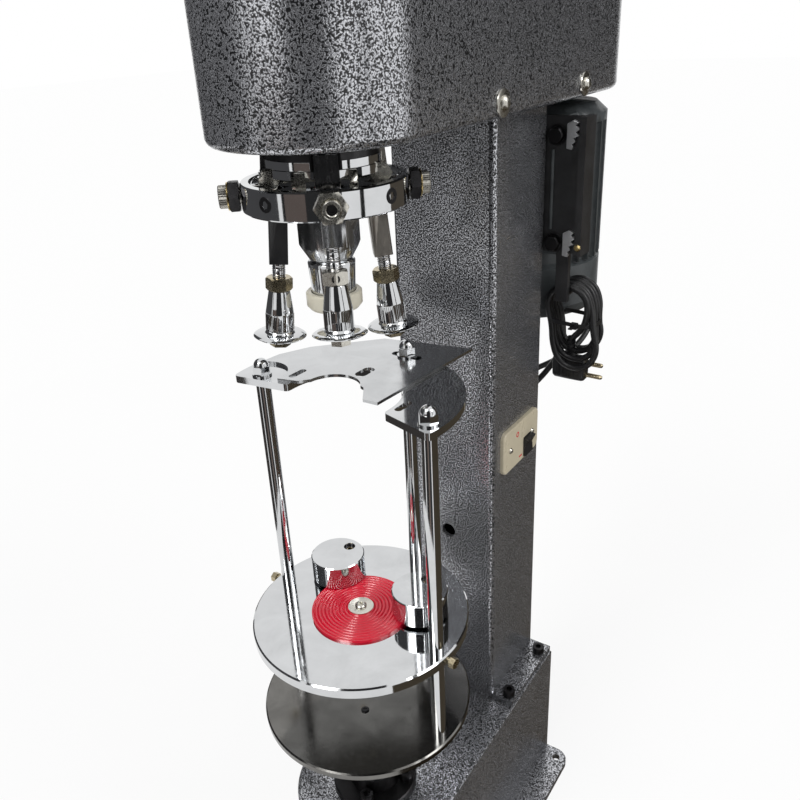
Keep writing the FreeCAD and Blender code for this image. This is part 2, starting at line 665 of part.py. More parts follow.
def make_hood():
    outer = round_ended_plate(HOOD_RADIUS, MOTOR_Y, HOOD_BOTTOM, HOOD_TOP)
    outer = outer.makeFillet(HOOD_TOP_ROUND, edges_at(outer, HOOD_TOP))
    outer = outer.makeFillet(HOOD_BOTTOM_ROUND, edges_at(outer, HOOD_BOTTOM))
    low, high = HOOD_BOTTOM + HOOD_WALL, HOOD_TOP - HOOD_WALL
    inner = round_ended_plate(HOOD_RADIUS - HOOD_WALL, MOTOR_Y, low, high)
    inner = inner.makeFillet(HOOD_TOP_ROUND - HOOD_WALL, edges_at(inner, high))
    inner = inner.makeFillet(HOOD_BOTTOM_ROUND - HOOD_WALL, edges_at(inner, low))
    mouth = round_ended_plate(HOOD_RADIUS - HOOD_LIP, MOTOR_Y, HOOD_BOTTOM - 1, low + 1)
    hood = outer.cut(inner).cut(mouth)
    for start, direction in hood_screw_places():
        hood = hood.cut(rod(M6_RADIUS + HOLE_CLEARANCE, start - direction, direction, HOOD_WALL + 2))
    return hood


def make_hood_screws():
    seat, radius = HOOD_WASHER_THICKNESS, HOOD_SCREW_HEAD_RADIUS
    top = seat + HOOD_SCREW_HEAD
    washer = ring(HOOD_WASHER_RADIUS, M6_RADIUS, 0, 0, 0, seat)
    head = revolved(((0, seat), (radius, seat), (radius, seat + HOOD_SCREW_HEAD / 2),
                     (radius * 0.7, top), (0, top)))
    for long, wide in ((radius * 0.6, 0.6), (0.6, radius * 0.6)):
        head = head.cut(box(-long, long, -wide, wide, top - 1.4, top + 1))
    shank = cylinder(M6_RADIUS, 0, 0, -16, seat)
    screw = head.fuse(shank).fuse(washer).removeSplitter()
    return [aimed(screw, -direction, start.x, start.y, start.z)
            for start, direction in hood_screw_places()]


def housing_bolt_places():
    for index in range(4):
        yield polar(HOUSING_BOLT_RADIUS, 45 + 90 * index)


def make_bearing_housing():
    top = HOUSING_BOTTOM + HOUSING_HEIGHT
    shoulder = BEARING_RADIUS - HOUSING_LIP
    flange_top = HEAD_PLATE_TOP + HOUSING_FLANGE_THICKNESS
    housing = revolved((
        (shoulder, HOUSING_BOTTOM), (HOUSING_BARREL_RADIUS, HOUSING_BOTTOM),
        (HOUSING_BARREL_RADIUS, HEAD_PLATE_TOP), (HOUSING_FLANGE_RADIUS, HEAD_PLATE_TOP),
        (HOUSING_FLANGE_RADIUS, flange_top), (HOUSING_BARREL_RADIUS + 3, flange_top),
        (HOUSING_BARREL_RADIUS, flange_top + 3), (HOUSING_BARREL_RADIUS, top), (shoulder, top),
    ))
    for z0, z1 in bearing_spans():
        housing = housing.cut(cylinder(BEARING_RADIUS, 0, 0, z0, z1))
    for x, y in housing_bolt_places():
        housing = housing.cut(cylinder(M8_RADIUS + HOLE_CLEARANCE, x, y, HEAD_PLATE_TOP - 1,
                                       flange_top + 1))
    return housing


def bearing_spans():
    low = HOUSING_BOTTOM + HOUSING_LIP
    high = HOUSING_BOTTOM + HOUSING_HEIGHT - HOUSING_LIP
    return ((low, low + BEARING_WIDTH), (high - BEARING_WIDTH, high))


def make_spindle_bearings():
    return [ring(BEARING_RADIUS, SPINDLE_RADIUS + RUNNING_FIT, 0, 0, z0, z1)
            for z0, z1 in bearing_spans()]


def motor_bolt_places():
    for x in (-MOTOR_BOLT_X / 2, MOTOR_BOLT_X / 2):
        for z in (MOTOR_FOOT_HEIGHT - MOTOR_BOLT_Z / 2, MOTOR_FOOT_HEIGHT + MOTOR_BOLT_Z / 2):
            yield x, z


def make_hex_bolts():
    """Bolts of the bearing housing, and those of the motor's feet."""
    flange_bolt = hex_bolt(M8_RADIUS, M8_HEX_FLATS, M8_HEX_HEAD,
                           HOUSING_FLANGE_THICKNESS + HEAD_PLATE_THICKNESS)
    bolts = [moved(flange_bolt, x, y, HEAD_PLATE_TOP + HOUSING_FLANGE_THICKNESS)
             for x, y in housing_bolt_places()]
    foot_bolt = hex_bolt(M8_RADIUS, M8_HEX_FLATS, M8_HEX_HEAD,
                         BRACKET_WEB + MOTOR_FOOT_THICKNESS, washer=1.6)
    bolts += [aimed(foot_bolt, V(0, -1, 0), x, COLUMN_REAR, z) for x, z in motor_bolt_places()]
    return bolts


# Motor and its bracket

def make_motor_bracket():
    half = BRACKET_WIDTH / 2
    bracket = box(-half, half, COLUMN_REAR, BRACKET_FACE, BRACKET_BOTTOM, BRACKET_TOP)
    for side in (-1, 1):
        inner, outer = side * (half - BRACKET_WEB), side * half
        lip = box(min(inner, outer), max(inner, outer), COLUMN_REAR - BRACKET_RIDGE,
                  COLUMN_REAR + BRACKET_LIP, BRACKET_BOTTOM, BRACKET_TOP)
        bracket = bracket.fuse(lip)
    hook_half = HOOK_WIDTH / 2
    tongue = box(HOOK_X - hook_half, HOOK_X + hook_half, COLUMN_REAR, BRACKET_FACE,
                 BRACKET_BOTTOM - HOOK_DROP, BRACKET_BOTTOM + 1)
    bracket = bracket.fuse(tongue).fuse(hook_peg(0)).removeSplitter()
    for x, z in motor_bolt_places():
        bracket = bracket.cut(rod(M8_RADIUS + HOLE_CLEARANCE, V(x, COLUMN_REAR - 1, z),
                                  V(0, 1, 0), BRACKET_WEB + 2))
    return bracket


def hook_peg(trim):
    """Peg under the bracket that the wound lead hangs on, grown by trim."""
    start = V(HOOK_X, BRACKET_FACE - 1, HOOK_PEG_HEIGHT)
    peg = rod(HOOK_PEG_RADIUS + trim, start, V(0, 1, 0), HOOK_PEG_LENGTH + 1)
    knob = rod(HOOK_PEG_RADIUS + 2 + trim, start + V(0, HOOK_PEG_LENGTH - 2, 0), V(0, 1, 0), 3)
    return peg.fuse(knob)


def make_motor_body():
    fan_top = MOTOR_BOTTOM + MOTOR_FAN_HEIGHT
    bell_bottom = MOTOR_TOP - MOTOR_BELL
    core = revolved((
        (0, fan_top), (MOTOR_FIN_RADIUS, fan_top), (MOTOR_FIN_RADIUS, fan_top + 12),
        (MOTOR_BODY_RADIUS, fan_top + 15),
        (MOTOR_BODY_RADIUS, bell_bottom), (MOTOR_FIN_RADIUS, bell_bottom),
        (MOTOR_FIN_RADIUS, bell_bottom + 8), (MOTOR_FIN_RADIUS - 10, MOTOR_TOP - 7),
        (MOTOR_SHAFT_RADIUS + 16, MOTOR_TOP - 5), (MOTOR_SHAFT_RADIUS + 14, MOTOR_TOP),
        (0, MOTOR_TOP),
    ))
    fins = []
    for index in range(MOTOR_FIN_COUNT):
        angle = 360.0 * index / MOTOR_FIN_COUNT
        if 225 < angle < 315:
            continue
        fin = box(MOTOR_BODY_RADIUS - 2, MOTOR_FIN_RADIUS, -MOTOR_FIN_THICKNESS / 2,
                  MOTOR_FIN_THICKNESS / 2, fan_top + MOTOR_FIN_GAP, bell_bottom)
        fins.append(turned(fin, angle))
    body = moved(core.fuse(fins), 0, MOTOR_Y, 0)
    half_size = MOTOR_FOOT_SIZE / 2
    for x, z in motor_bolt_places():
        foot = box(x - half_size, x + half_size, BRACKET_FACE, BRACKET_FACE + MOTOR_FOOT_THICKNESS,
                   z - half_size, z + half_size)
        body = body.fuse(foot)
    for side in (-1, 1):
        inner = side * (MOTOR_BOLT_X / 2 - half_size)
        outer = side * (MOTOR_BOLT_X / 2 - half_size + 10)
        rail = box(min(inner, outer), max(inner, outer), BRACKET_FACE, MOTOR_Y - 30,
                   MOTOR_FOOT_HEIGHT - MOTOR_BOLT_Z / 2 - half_size,
                   MOTOR_FOOT_HEIGHT + MOTOR_BOLT_Z / 2 + half_size)
        body = body.fuse(rail)
    for x, z in motor_bolt_places():
        body = body.cut(rod(M8_RADIUS, V(x, BRACKET_FACE - 1, z), V(0, 1, 0), MOTOR_FOOT_THICKNESS + 2))
    bore = cylinder(MOTOR_SHAFT_RADIUS + RUNNING_FIT, 0, MOTOR_Y, MOTOR_TOP - MOTOR_SHAFT_BORE, MOTOR_TOP + 1)
    body = body.cut(bore)
    seat = terminal_block(SLIP).cut(cylinder(MOTOR_BODY_RADIUS, 0, MOTOR_Y, MOTOR_BOTTOM, MOTOR_TOP))
    return body.cut(on_motor(seat)).removeSplitter()


def make_motor_fan_cover():
    top = MOTOR_BOTTOM + MOTOR_FAN_HEIGHT
    radius = MOTOR_FIN_RADIUS
    shell = revolved((
        (0, MOTOR_BOTTOM), (radius - 18, MOTOR_BOTTOM), (radius - 6, MOTOR_BOTTOM + 5),
        (radius, MOTOR_BOTTOM + 16), (radius, top), (radius - 2, top),
        (radius - 2, MOTOR_BOTTOM + 17), (radius - 7.5, MOTOR_BOTTOM + 7),
        (radius - 18, MOTOR_BOTTOM + 2), (0, MOTOR_BOTTOM + 2),
    ))
    for row_radius, count in ((16, 8), (30, 14), (42, 20)):
        for index in range(count):
            x, y = polar(row_radius, 360.0 * index / count)
            shell = shell.cut(cylinder(3.2, x, y, MOTOR_BOTTOM - 1, MOTOR_BOTTOM + 3))
    return moved(shell, 0, MOTOR_Y, 0)


def terminal_block(trim):
    """Block of the terminal box out to its lid, drawn along +X and grown all round by trim."""
    half = TERMINAL_WIDTH / 2 + trim
    half_z = TERMINAL_LENGTH / 2 + trim
    return box(MOTOR_BODY_RADIUS - TERMINAL_ROOT, MOTOR_FIN_RADIUS + TERMINAL_OUT + trim, MOTOR_Y - half,
               MOTOR_Y + half, MOTOR_FOOT_HEIGHT - half_z, MOTOR_FOOT_HEIGHT + half_z)


def on_motor(shape):
    return turned(shape, TERMINAL_TURN, V(0, MOTOR_Y, 0))


def make_terminal_box():
    """Terminal box whose saddle sits on the motor's round body."""
    block = terminal_block(0)
    face = MOTOR_FIN_RADIUS + TERMINAL_OUT
    block = block.makeFillet(4, [edge for edge in block.Edges
                                 if all(vertex.X > face - 1e-6 for vertex in edge.Vertexes)])
    return on_motor(block.cut(cylinder(MOTOR_BODY_RADIUS, 0, MOTOR_Y, MOTOR_BOTTOM, MOTOR_TOP)))


def make_motor_shaft():
    flat_bottom = BELT_HEIGHT - PULLEY_WIDTH / 2
    shaft = cylinder(MOTOR_SHAFT_RADIUS, 0, MOTOR_Y, MOTOR_TOP - MOTOR_SHAFT_BORE + 2,
                     BELT_HEIGHT + PULLEY_WIDTH / 2 + SHAFT_END)
    keyway = box(-3, 3, MOTOR_Y + MOTOR_SHAFT_RADIUS - 3, MOTOR_Y + MOTOR_SHAFT_RADIUS + 1,
                 flat_bottom, BELT_HEIGHT + PULLEY_WIDTH / 2 + SHAFT_END + 1)
    return shaft.cut(keyway)


def pulley(radius, bore, x, y):
    """V pulley: its rim radius is where the belt's outer face runs."""
    half = PULLEY_WIDTH / 2
    groove = BELT_TOP_WIDTH / 2 + SLIP
    floor = BELT_DEPTH + 2.5
    floor_half = groove - floor * math.tan(math.radians(BELT_HALF_ANGLE))
    hub = bore + 9
    web = 4.0
    profile = [(bore, -half), (hub, -half)]
    rim_inner = radius - floor - 5
    if rim_inner > hub + 6:
        profile += [(hub, -web), (rim_inner, -web), (rim_inner, -half)]
    profile += [(radius, -half), (radius, -groove), (radius - floor, -floor_half),
                (radius - floor, floor_half), (radius, groove), (radius, half)]
    if rim_inner > hub + 6:
        profile += [(rim_inner, half), (rim_inner, web), (hub, web)]
    profile += [(hub, half), (bore, half)]
    return moved(revolved(profile), x, y, BELT_HEIGHT)


def make_drive_belt():
    """Belt about both pulleys, made as its outer loop less its inner loop."""
    def loop(trim, half_width):
        small = MOTOR_PULLEY_RADIUS - trim
        large = SPINDLE_PULLEY_RADIUS - trim
        rise = math.asin((large - small) / MOTOR_Y)
        lx, ly = large * math.cos(rise), large * math.sin(rise)
        sx, sy = small * math.cos(rise), MOTOR_Y + small * math.sin(rise)
        z = BELT_HEIGHT - half_width
        return Part.Wire([
            Part.Arc(V(-lx, ly, z), V(0, -large, z), V(lx, ly, z)).toShape(),
            Part.makeLine(V(lx, ly, z), V(sx, sy, z)),
            Part.Arc(V(sx, sy, z), V(0, MOTOR_Y + small, z), V(-sx, sy, z)).toShape(),
            Part.makeLine(V(-sx, sy, z), V(-lx, ly, z)),
        ])
    taper = math.tan(math.radians(BELT_HALF_ANGLE))
    half_top = BELT_TOP_WIDTH / 2
    half_floor = half_top - BELT_DEPTH * taper
    outer = Part.Face(loop(0.0, half_floor)).extrude(V(0, 0, 2 * half_floor))
    inner = Part.Face(loop(BELT_DEPTH, half_floor)).extrude(V(0, 0, 2 * half_floor))
    belt = outer.cut(inner)
    for side in (-1, 1):
        wide = Part.Face(loop(0.0, 0.0))
        step = half_top - half_floor
        strip = wide.extrude(V(0, 0, step * 0.5))
        cut = Part.Face(loop(step * 0.5 / taper, 0.0)).extrude(V(0, 0, step * 0.5))
        strip = strip.cut(cut)
        strip.translate(V(0, 0, half_floor if side > 0 else -half_floor - step * 0.5))
        belt = belt.fuse(strip)
    return belt.removeSplitter()


# Spindle and capping head

def make_spindle_shaft():
    thread = SPINDLE_THREAD_RADIUS
    shaft = revolved((
        (0, SPINDLE_BOTTOM), (thread - 1, SPINDLE_BOTTOM), (thread, SPINDLE_BOTTOM + 1),
        (thread, CARRIER_BOTTOM), (SPINDLE_RADIUS, CARRIER_BOTTOM), (SPINDLE_RADIUS, SPINDLE_TOP - 1),
        (SPINDLE_RADIUS - 1, SPINDLE_TOP), (0, SPINDLE_TOP),
    ))
    nut_top = SPINDLE_TOP - 1
    nut = hexagon(SPINDLE_NUT_FLATS, BELT_HEIGHT + PULLEY_WIDTH / 2, nut_top).cut(
        cylinder(SPINDLE_RADIUS, 0, 0, BELT_HEIGHT, SPINDLE_TOP + 1))
    return shaft, nut


def arm_angle(index):
    return HEAD_TURN + 360.0 / ARM_COUNT * index


def cut_arm_slots(shape, z0, z1):
    """Open one slot for each arm's knee, from the rim inwards."""
    width = ARM_KNEE_WIDTH / 2 + SLIP
    for index in range(ARM_COUNT):
        notch = box(SLOT_DEPTH, COLLAR_RADIUS + 20, -width, width, z0, z1)
        shape = shape.cut(turned(notch, arm_angle(index)))
    return shape


def make_head_flange():
    flange = ring(HEAD_FLANGE_RADIUS, SPINDLE_RADIUS, 0, 0, COLLAR_TOP, HEAD_FLANGE_TOP)
    return cut_arm_slots(flange, COLLAR_TOP - 1, HEAD_FLANGE_TOP + 1)


def make_arm_carrier():
    hub = cylinder(CARRIER_HUB_RADIUS, 0, 0, CARRIER_BOTTOM, COLLAR_BOTTOM)
    collar = cylinder(COLLAR_RADIUS, 0, 0, COLLAR_BOTTOM, COLLAR_TOP)
    carrier = hub.fuse(cut_arm_slots(collar, COLLAR_BOTTOM - 1, COLLAR_TOP + 1))
    lug_bottom = PIVOT_HEIGHT - LUG_DEPTH / 2
    spoke_bottom = ADJUSTER_HEIGHT - SPIDER_THICKNESS / 2
    lug_length = PIVOT_RADIUS + LUG_DEPTH / 2
    for index in range(ARM_COUNT):
        angle = arm_angle(index)
        for y0 in (-LUG_OUTER, LUG_INNER):
            lug = box(10, lug_length, y0, y0 + LUG_THICKNESS, lug_bottom, COLLAR_BOTTOM)
            carrier = carrier.fuse(turned(lug, angle))
        spoke = box(10, RING_RADIUS, -SPIDER_WIDTH / 2, SPIDER_WIDTH / 2, spoke_bottom,
                    spoke_bottom + SPIDER_THICKNESS)
        spoke = spoke.common(cylinder(RING_INNER_RADIUS, 0, 0, spoke_bottom, RING_TOP))
        carrier = carrier.fuse(turned(spoke, angle + 180.0 / ARM_COUNT))
    for index in range(ARM_COUNT):
        hole = rod(PIVOT_BOLT_RADIUS, V(PIVOT_RADIUS, -LUG_OUTER - 1, PIVOT_HEIGHT), V(0, 1, 0),
                   2 * LUG_OUTER + 2)
        carrier = carrier.cut(turned(hole, arm_angle(index)))
        for y0 in (LUG_OUTER, -LUG_OUTER - PIVOT_POCKET):
            pocket = box(PIVOT_RADIUS - M8_HEX_FLATS * 0.6, COLLAR_RADIUS + 1, y0, y0 + PIVOT_POCKET,
                         COLLAR_BOTTOM - 1, COLLAR_TOP + 1)
            carrier = carrier.cut(turned(pocket, arm_angle(index)))
    carrier = carrier.cut(cylinder(SPINDLE_RADIUS, 0, 0, CARRIER_BOTTOM - 1, COLLAR_TOP + 1))
    return carrier.removeSplitter()


def make_arm_pivots():
    """Pivot bolt of each arm, with its nut on the far lug."""
    bolt = hex_bolt(PIVOT_BOLT_RADIUS, M8_HEX_FLATS, M8_HEX_HEAD, 2 * LUG_OUTER + 8.5)
    bolt = aimed(bolt, V(0, 1, 0), PIVOT_RADIUS, LUG_OUTER, PIVOT_HEIGHT)
    nut = hexagon(M8_HEX_FLATS, 0, 6.5).cut(cylinder(PIVOT_BOLT_RADIUS, 0, 0, -1, 8))
    nut = aimed(nut, V(0, -1, 0), PIVOT_RADIUS, -LUG_OUTER, PIVOT_HEIGHT)
    pivots = []
    for index in range(ARM_COUNT):
        pivots += [turned(bolt, arm_angle(index)), turned(nut, arm_angle(index))]
    return pivots


def make_adjusting_ring():
    body = revolved((
        (RING_INNER_RADIUS, RING_BOTTOM), (RING_RADIUS - 1, RING_BOTTOM),
        (RING_RADIUS, RING_BOTTOM + 1), (RING_RADIUS, RING_TOP - 1), (RING_RADIUS - 1, RING_TOP),
        (RING_INNER_RADIUS + RING_STEP, RING_TOP), (RING_INNER_RADIUS + RING_STEP, RING_TOP - RING_STEP_DEPTH),
        (RING_INNER_RADIUS, RING_TOP - RING_STEP_DEPTH - 1),
    ))
    for index in range(ARM_COUNT):
        hole = rod(ADJUSTER_RADIUS, V(RING_INNER_RADIUS - 4, 0, ADJUSTER_HEIGHT), V(1, 0, 0), 30)
        body = body.cut(turned(hole, arm_angle(index)))
    return body


def arm_face_radius(height):
    """Radius of the arm's outer face at a height, below its knee."""
    drop = PIVOT_HEIGHT - height
    lean = math.radians(ARM_LEAN)
    middle = PIVOT_RADIUS + drop * math.tan(lean) - ARM_OFFSET / math.cos(lean)
    return middle + ARM_WIDTH / 2 / math.cos(lean)


def make_adjusting_screws():
    """Hollow-ended screws through the ring, each locked by a thin nut."""
    tip = arm_face_radius(ADJUSTER_HEIGHT - ADJUSTER_RADIUS) + ADJUSTER_GAP
    length = ADJUSTER_END - tip
    screw = revolved(((0, 0), (ADJUSTER_RADIUS - 2, 0), (ADJUSTER_RADIUS, 2),
                      (ADJUSTER_RADIUS, length - 1), (ADJUSTER_RADIUS - 1, length), (0, length)))
    screw = screw.cut(hexagon(6.2, length - 7, length + 1))
    screw = aimed(screw, V(1, 0, 0), tip, 0, ADJUSTER_HEIGHT)
    nut = hexagon(ADJUSTER_NUT_FLATS, 0, ADJUSTER_NUT_THICKNESS)
    edge = ADJUSTER_NUT_FLATS / math.sqrt(3)
    bevel = revolved(((0, 0), (edge, 0), (edge, ADJUSTER_NUT_THICKNESS - 1.6),
                      (edge - 2, ADJUSTER_NUT_THICKNESS), (0, ADJUSTER_NUT_THICKNESS)))
    nut = nut.common(bevel).cut(cylinder(ADJUSTER_RADIUS, 0, 0, -1, ADJUSTER_NUT_THICKNESS + 1))
    nut = aimed(nut, V(1, 0, 0), RING_RADIUS, 0, ADJUSTER_HEIGHT)
    pieces = []
    for index in range(ARM_COUNT):
        pieces += [turned(screw, arm_angle(index)), turned(nut, arm_angle(index))]
    return pieces


def place_arm(shape, index):
    """Lean a shape drawn at the pivot and put it at one of the arms' places."""
    leant = turned(shape, ARM_LEAN, V(0, 0, 0), V(0, -1, 0))
    return turned(moved(leant, PIVOT_RADIUS, 0, PIVOT_HEIGHT), arm_angle(index))


def arm_levels(index):
    """Heights, from the pivot, of the bar's end, nut, roller and retaining screw."""
    kind = index % 2
    bar_end = -ARM_LENGTHS[kind]
    nut_top = bar_end - STEM_LENGTHS[kind]
    roller_top = nut_top - STEM_NUT_THICKNESS - SLIP
    roller_bottom = roller_top - ROLLER_LENGTH
    return bar_end, nut_top, roller_top, roller_bottom


def make_arm(index):
    bar_end, nut_top, roller_top, roller_bottom = arm_levels(index)
    half = ARM_WIDTH / 2
    bar = box(-ARM_OFFSET - half, -ARM_OFFSET + half, -half, half, bar_end, 0)
    bar = bar.makeChamfer(0.6, upright_edges(bar))
    knee_half = ARM_KNEE_WIDTH / 2
    knee = box(-ARM_KNEE_INNER, ARM_KNEE_OUTER, -knee_half, knee_half, 0, ARM_TOP)
    eye = rod(ARM_KNEE_OUTER, V(0, -knee_half, 0), V(0, 1, 0), ARM_KNEE_WIDTH)
    knee = knee.fuse(eye)
    stem = cylinder(STEM_RADIUS, -ARM_OFFSET, 0, roller_bottom - SLIP, bar_end + 1)
    arm = bar.fuse(knee).fuse(stem)
    arm = arm.cut(rod(PIVOT_BOLT_RADIUS + RUNNING_FIT, V(0, -knee_half - 1, 0), V(0, 1, 0),
                      ARM_KNEE_WIDTH + 2))
    return place_arm(arm.removeSplitter(), index)


def make_stem_nuts(index):
    """Lock nut above the roller and the retaining screw under it."""
    bar_end, nut_top, roller_top, roller_bottom = arm_levels(index)
    edge = STEM_NUT_FLATS / math.sqrt(3)
    nut = hexagon(STEM_NUT_FLATS, nut_top - STEM_NUT_THICKNESS, nut_top)
    bevel = revolved(((0, nut_top - STEM_NUT_THICKNESS), (edge - 1.2, nut_top - STEM_NUT_THICKNESS),
                      (edge, nut_top - STEM_NUT_THICKNESS + 1), (edge, nut_top - 1),
                      (edge - 1.2, nut_top), (0, nut_top)))
    nut = nut.common(bevel).cut(cylinder(STEM_RADIUS, 0, 0, nut_top - 20, nut_top + 1))
    seat = roller_bottom - SLIP
    head = hexagon(ROLLER_SCREW_FLATS, seat - ROLLER_SCREW_THICKNESS, seat - 1.5)
    screw = head.fuse(cylinder(ROLLER_SCREW_FLATS * 0.62, 0, 0, seat - 1.5, seat))
    nut, screw = moved(nut, -ARM_OFFSET, 0, 0), moved(screw, -ARM_OFFSET, 0, 0)
    return [place_arm(nut, index), place_arm(screw.removeSplitter(), index)]


def make_roller(index):
    bar_end, nut_top, roller_top, roller_bottom = arm_levels(index)
    bore = STEM_RADIUS + RUNNING_FIT
    disc_top = roller_bottom + ROLLER_DISC_THICKNESS
    roller = revolved((
        (bore, roller_bottom), (ROLLER_DISC_RADIUS - 1.4, roller_bottom),
        (ROLLER_DISC_RADIUS, roller_bottom + 1), (ROLLER_DISC_RADIUS - 1.8, disc_top),
        (ROLLER_RADIUS + 0.8, disc_top + 0.6), (ROLLER_RADIUS, disc_top + 2),
        (ROLLER_RADIUS, roller_top - ROLLER_TAPER), (ROLLER_TOP_RADIUS, roller_top), (bore, roller_top),
    ))
    return place_arm(moved(roller, -ARM_OFFSET, 0, 0), index)


def make_chuck_body():
    edge = CHUCK_FLATS / math.sqrt(3)
    body = hexagon(CHUCK_FLATS, CHUCK_BOTTOM, CARRIER_BOTTOM, HEAD_TURN)
    nose = revolved(((0, CHUCK_BOTTOM), (CHUCK_NOSE_RADIUS, CHUCK_BOTTOM), (edge, CHUCK_CONE_TOP),
                     (edge, CARRIER_BOTTOM - 1.5), (edge - 1.5, CARRIER_BOTTOM), (0, CARRIER_BOTTOM)))
    body = body.common(nose)
    body = body.cut(cylinder(SPINDLE_THREAD_RADIUS, 0, 0, SPINDLE_BOTTOM - 1, CARRIER_BOTTOM + 1))
    return body.cut(cylinder(CHUCK_BORE_RADIUS, 0, 0, CHUCK_BOTTOM - 1, SPINDLE_BOTTOM))


def make_chuck_sleeve():
    bore = PLUNGER_RADIUS + RUNNING_FIT
    inner = SLEEVE_BOTTOM_RADIUS - SLEEVE_WALL
    floor = SLEEVE_TOP - SLEEVE_CAP
    return revolved((
        (bore, SLEEVE_TOP), (bore, floor), (inner, floor), (inner, SLEEVE_BOTTOM),
        (SLEEVE_BOTTOM_RADIUS, SLEEVE_BOTTOM), (SLEEVE_TOP_RADIUS, SLEEVE_TOP - 1.2),
        (SLEEVE_TOP_RADIUS - 1, SLEEVE_TOP),
    ))


def make_chuck_pad():
    """Pressing pad about the sleeve's end, on a plunger that the spring holds down."""
    floor = PAD_BOTTOM + PAD_FLOOR
    top = PAD_BOTTOM + PAD_HEIGHT
    rise = (SLEEVE_TOP_RADIUS - SLEEVE_BOTTOM_RADIUS) / (SLEEVE_TOP - SLEEVE_BOTTOM)
    bore = SLEEVE_BOTTOM_RADIUS + rise * (top + PAD_STROKE - SLEEVE_BOTTOM) + SLIP
    stem_top = SLEEVE_TOP + SLIP + PLUNGER_CLIP_THICKNESS + 2
    cup = revolved(((0, PAD_BOTTOM), (PAD_RADIUS - 2.5, PAD_BOTTOM), (PAD_RADIUS, PAD_BOTTOM + 3),
                    (PAD_RADIUS, top - 1), (PAD_RADIUS - 1, top), (bore, top), (bore, floor),
                    (PLUNGER_RADIUS, floor), (PLUNGER_RADIUS, stem_top), (0, stem_top)))
    clip = ring(PLUNGER_CLIP_RADIUS, PLUNGER_RADIUS, 0, 0, SLEEVE_TOP + SLIP,
                SLEEVE_TOP + SLIP + PLUNGER_CLIP_THICKNESS)
    return cup.fuse(clip).removeSplitter()


def make_chuck_spring():
    """Flat-wire pressing spring between the pad and the sleeve's cap."""
    low = PAD_BOTTOM + PAD_FLOOR
    high = SLEEVE_TOP - SLEEVE_CAP
    pitch = (high - low - SPRING_WIRE) / SPRING_TURNS
    middle = SPRING_RADIUS - SPRING_WIRE / 2
    helix = Part.makeHelix(pitch, pitch * SPRING_TURNS, middle)
    half = SPRING_WIRE / 2
    corners = [V(middle - half, 0, -half), V(middle + half, 0, -half), V(middle + half, 0, half),
               V(middle - half, 0, half), V(middle - half, 0, -half)]
    coil = Part.Wire(helix).makePipeShell([Part.makePolygon(corners)], True, True)
    return moved(coil, 0, 0, low + half)


# Carriage

def rod_places():
    for angle in ROD_ANGLES:
        yield polar(ROD_CIRCLE, angle)


def on_carriage(shape):
    return turned(shape, CARRIAGE_TURN)


def make_lift_shaft():
    low = BASE_TOP - BUSH_BELOW - LIFT_STROKE - STOP_COLLAR_THICKNESS - 2
    stop_top = BASE_TOP - BUSH_BELOW - LIFT_STROKE - 1
    shaft = cylinder(LIFT_SHAFT_RADIUS, 0, 0, low, LOWER_PLATE_BOTTOM)
    hub = revolved(((0, LOWER_PLATE_BOTTOM - HUB_HEIGHT), (LIFT_SHAFT_RADIUS + 8, LOWER_PLATE_BOTTOM - HUB_HEIGHT),
                    (LIFT_SHAFT_RADIUS + 10, LOWER_PLATE_BOTTOM - 10), (HUB_RADIUS - 1, LOWER_PLATE_BOTTOM - 8),
                    (HUB_RADIUS, LOWER_PLATE_BOTTOM - 7), (HUB_RADIUS, LOWER_PLATE_BOTTOM), (0, LOWER_PLATE_BOTTOM)))
    stop = cylinder(STOP_COLLAR_RADIUS, 0, 0, stop_top - STOP_COLLAR_THICKNESS, stop_top)
    shaft = shaft.fuse(hub).fuse(stop).removeSplitter()
    return shaft.cut(cylinder(M8_RADIUS, 0, 0, LOWER_PLATE_BOTTOM - 20, LOWER_PLATE_BOTTOM + 1))


def edged_disc(radius, z0, z1):
    edge = PLATE_EDGE
    return revolved(((0, z0), (radius - edge, z0), (radius, z0 + edge), (radius, z1 - edge),
                     (radius - edge, z1), (0, z1)))


def make_lower_plate():
    plate = edged_disc(PLATE_RADIUS, LOWER_PLATE_BOTTOM, LOWER_PLATE_TOP)
    for x, y in rod_places():
        plate = plate.cut(cylinder(ROD_STUD_RADIUS, x, y, LOWER_PLATE_BOTTOM - 1, LOWER_PLATE_TOP + 1))
    plate = plate.cut(cylinder(M8_RADIUS + HOLE_CLEARANCE, 0, 0, LOWER_PLATE_BOTTOM - 1, LOWER_PLATE_TOP + 1))
    return on_carriage(plate)


def make_tray_rods():
    """Rods with a threaded stud at each end and a round shoulder between."""
    rods = []
    for x, y in rod_places():
        body = cylinder(ROD_RADIUS, x, y, LOWER_PLATE_TOP, NECK_PLATE_BOTTOM)
        low = cylinder(ROD_STUD_RADIUS, x, y, LOWER_PLATE_BOTTOM, LOWER_PLATE_TOP)
        high = cylinder(ROD_STUD_RADIUS, x, y, NECK_PLATE_BOTTOM, NECK_PLATE_TOP + ROD_STUD_LENGTH)
        rods.append(on_carriage(body.fuse(low).fuse(high).removeSplitter()))
    return rods


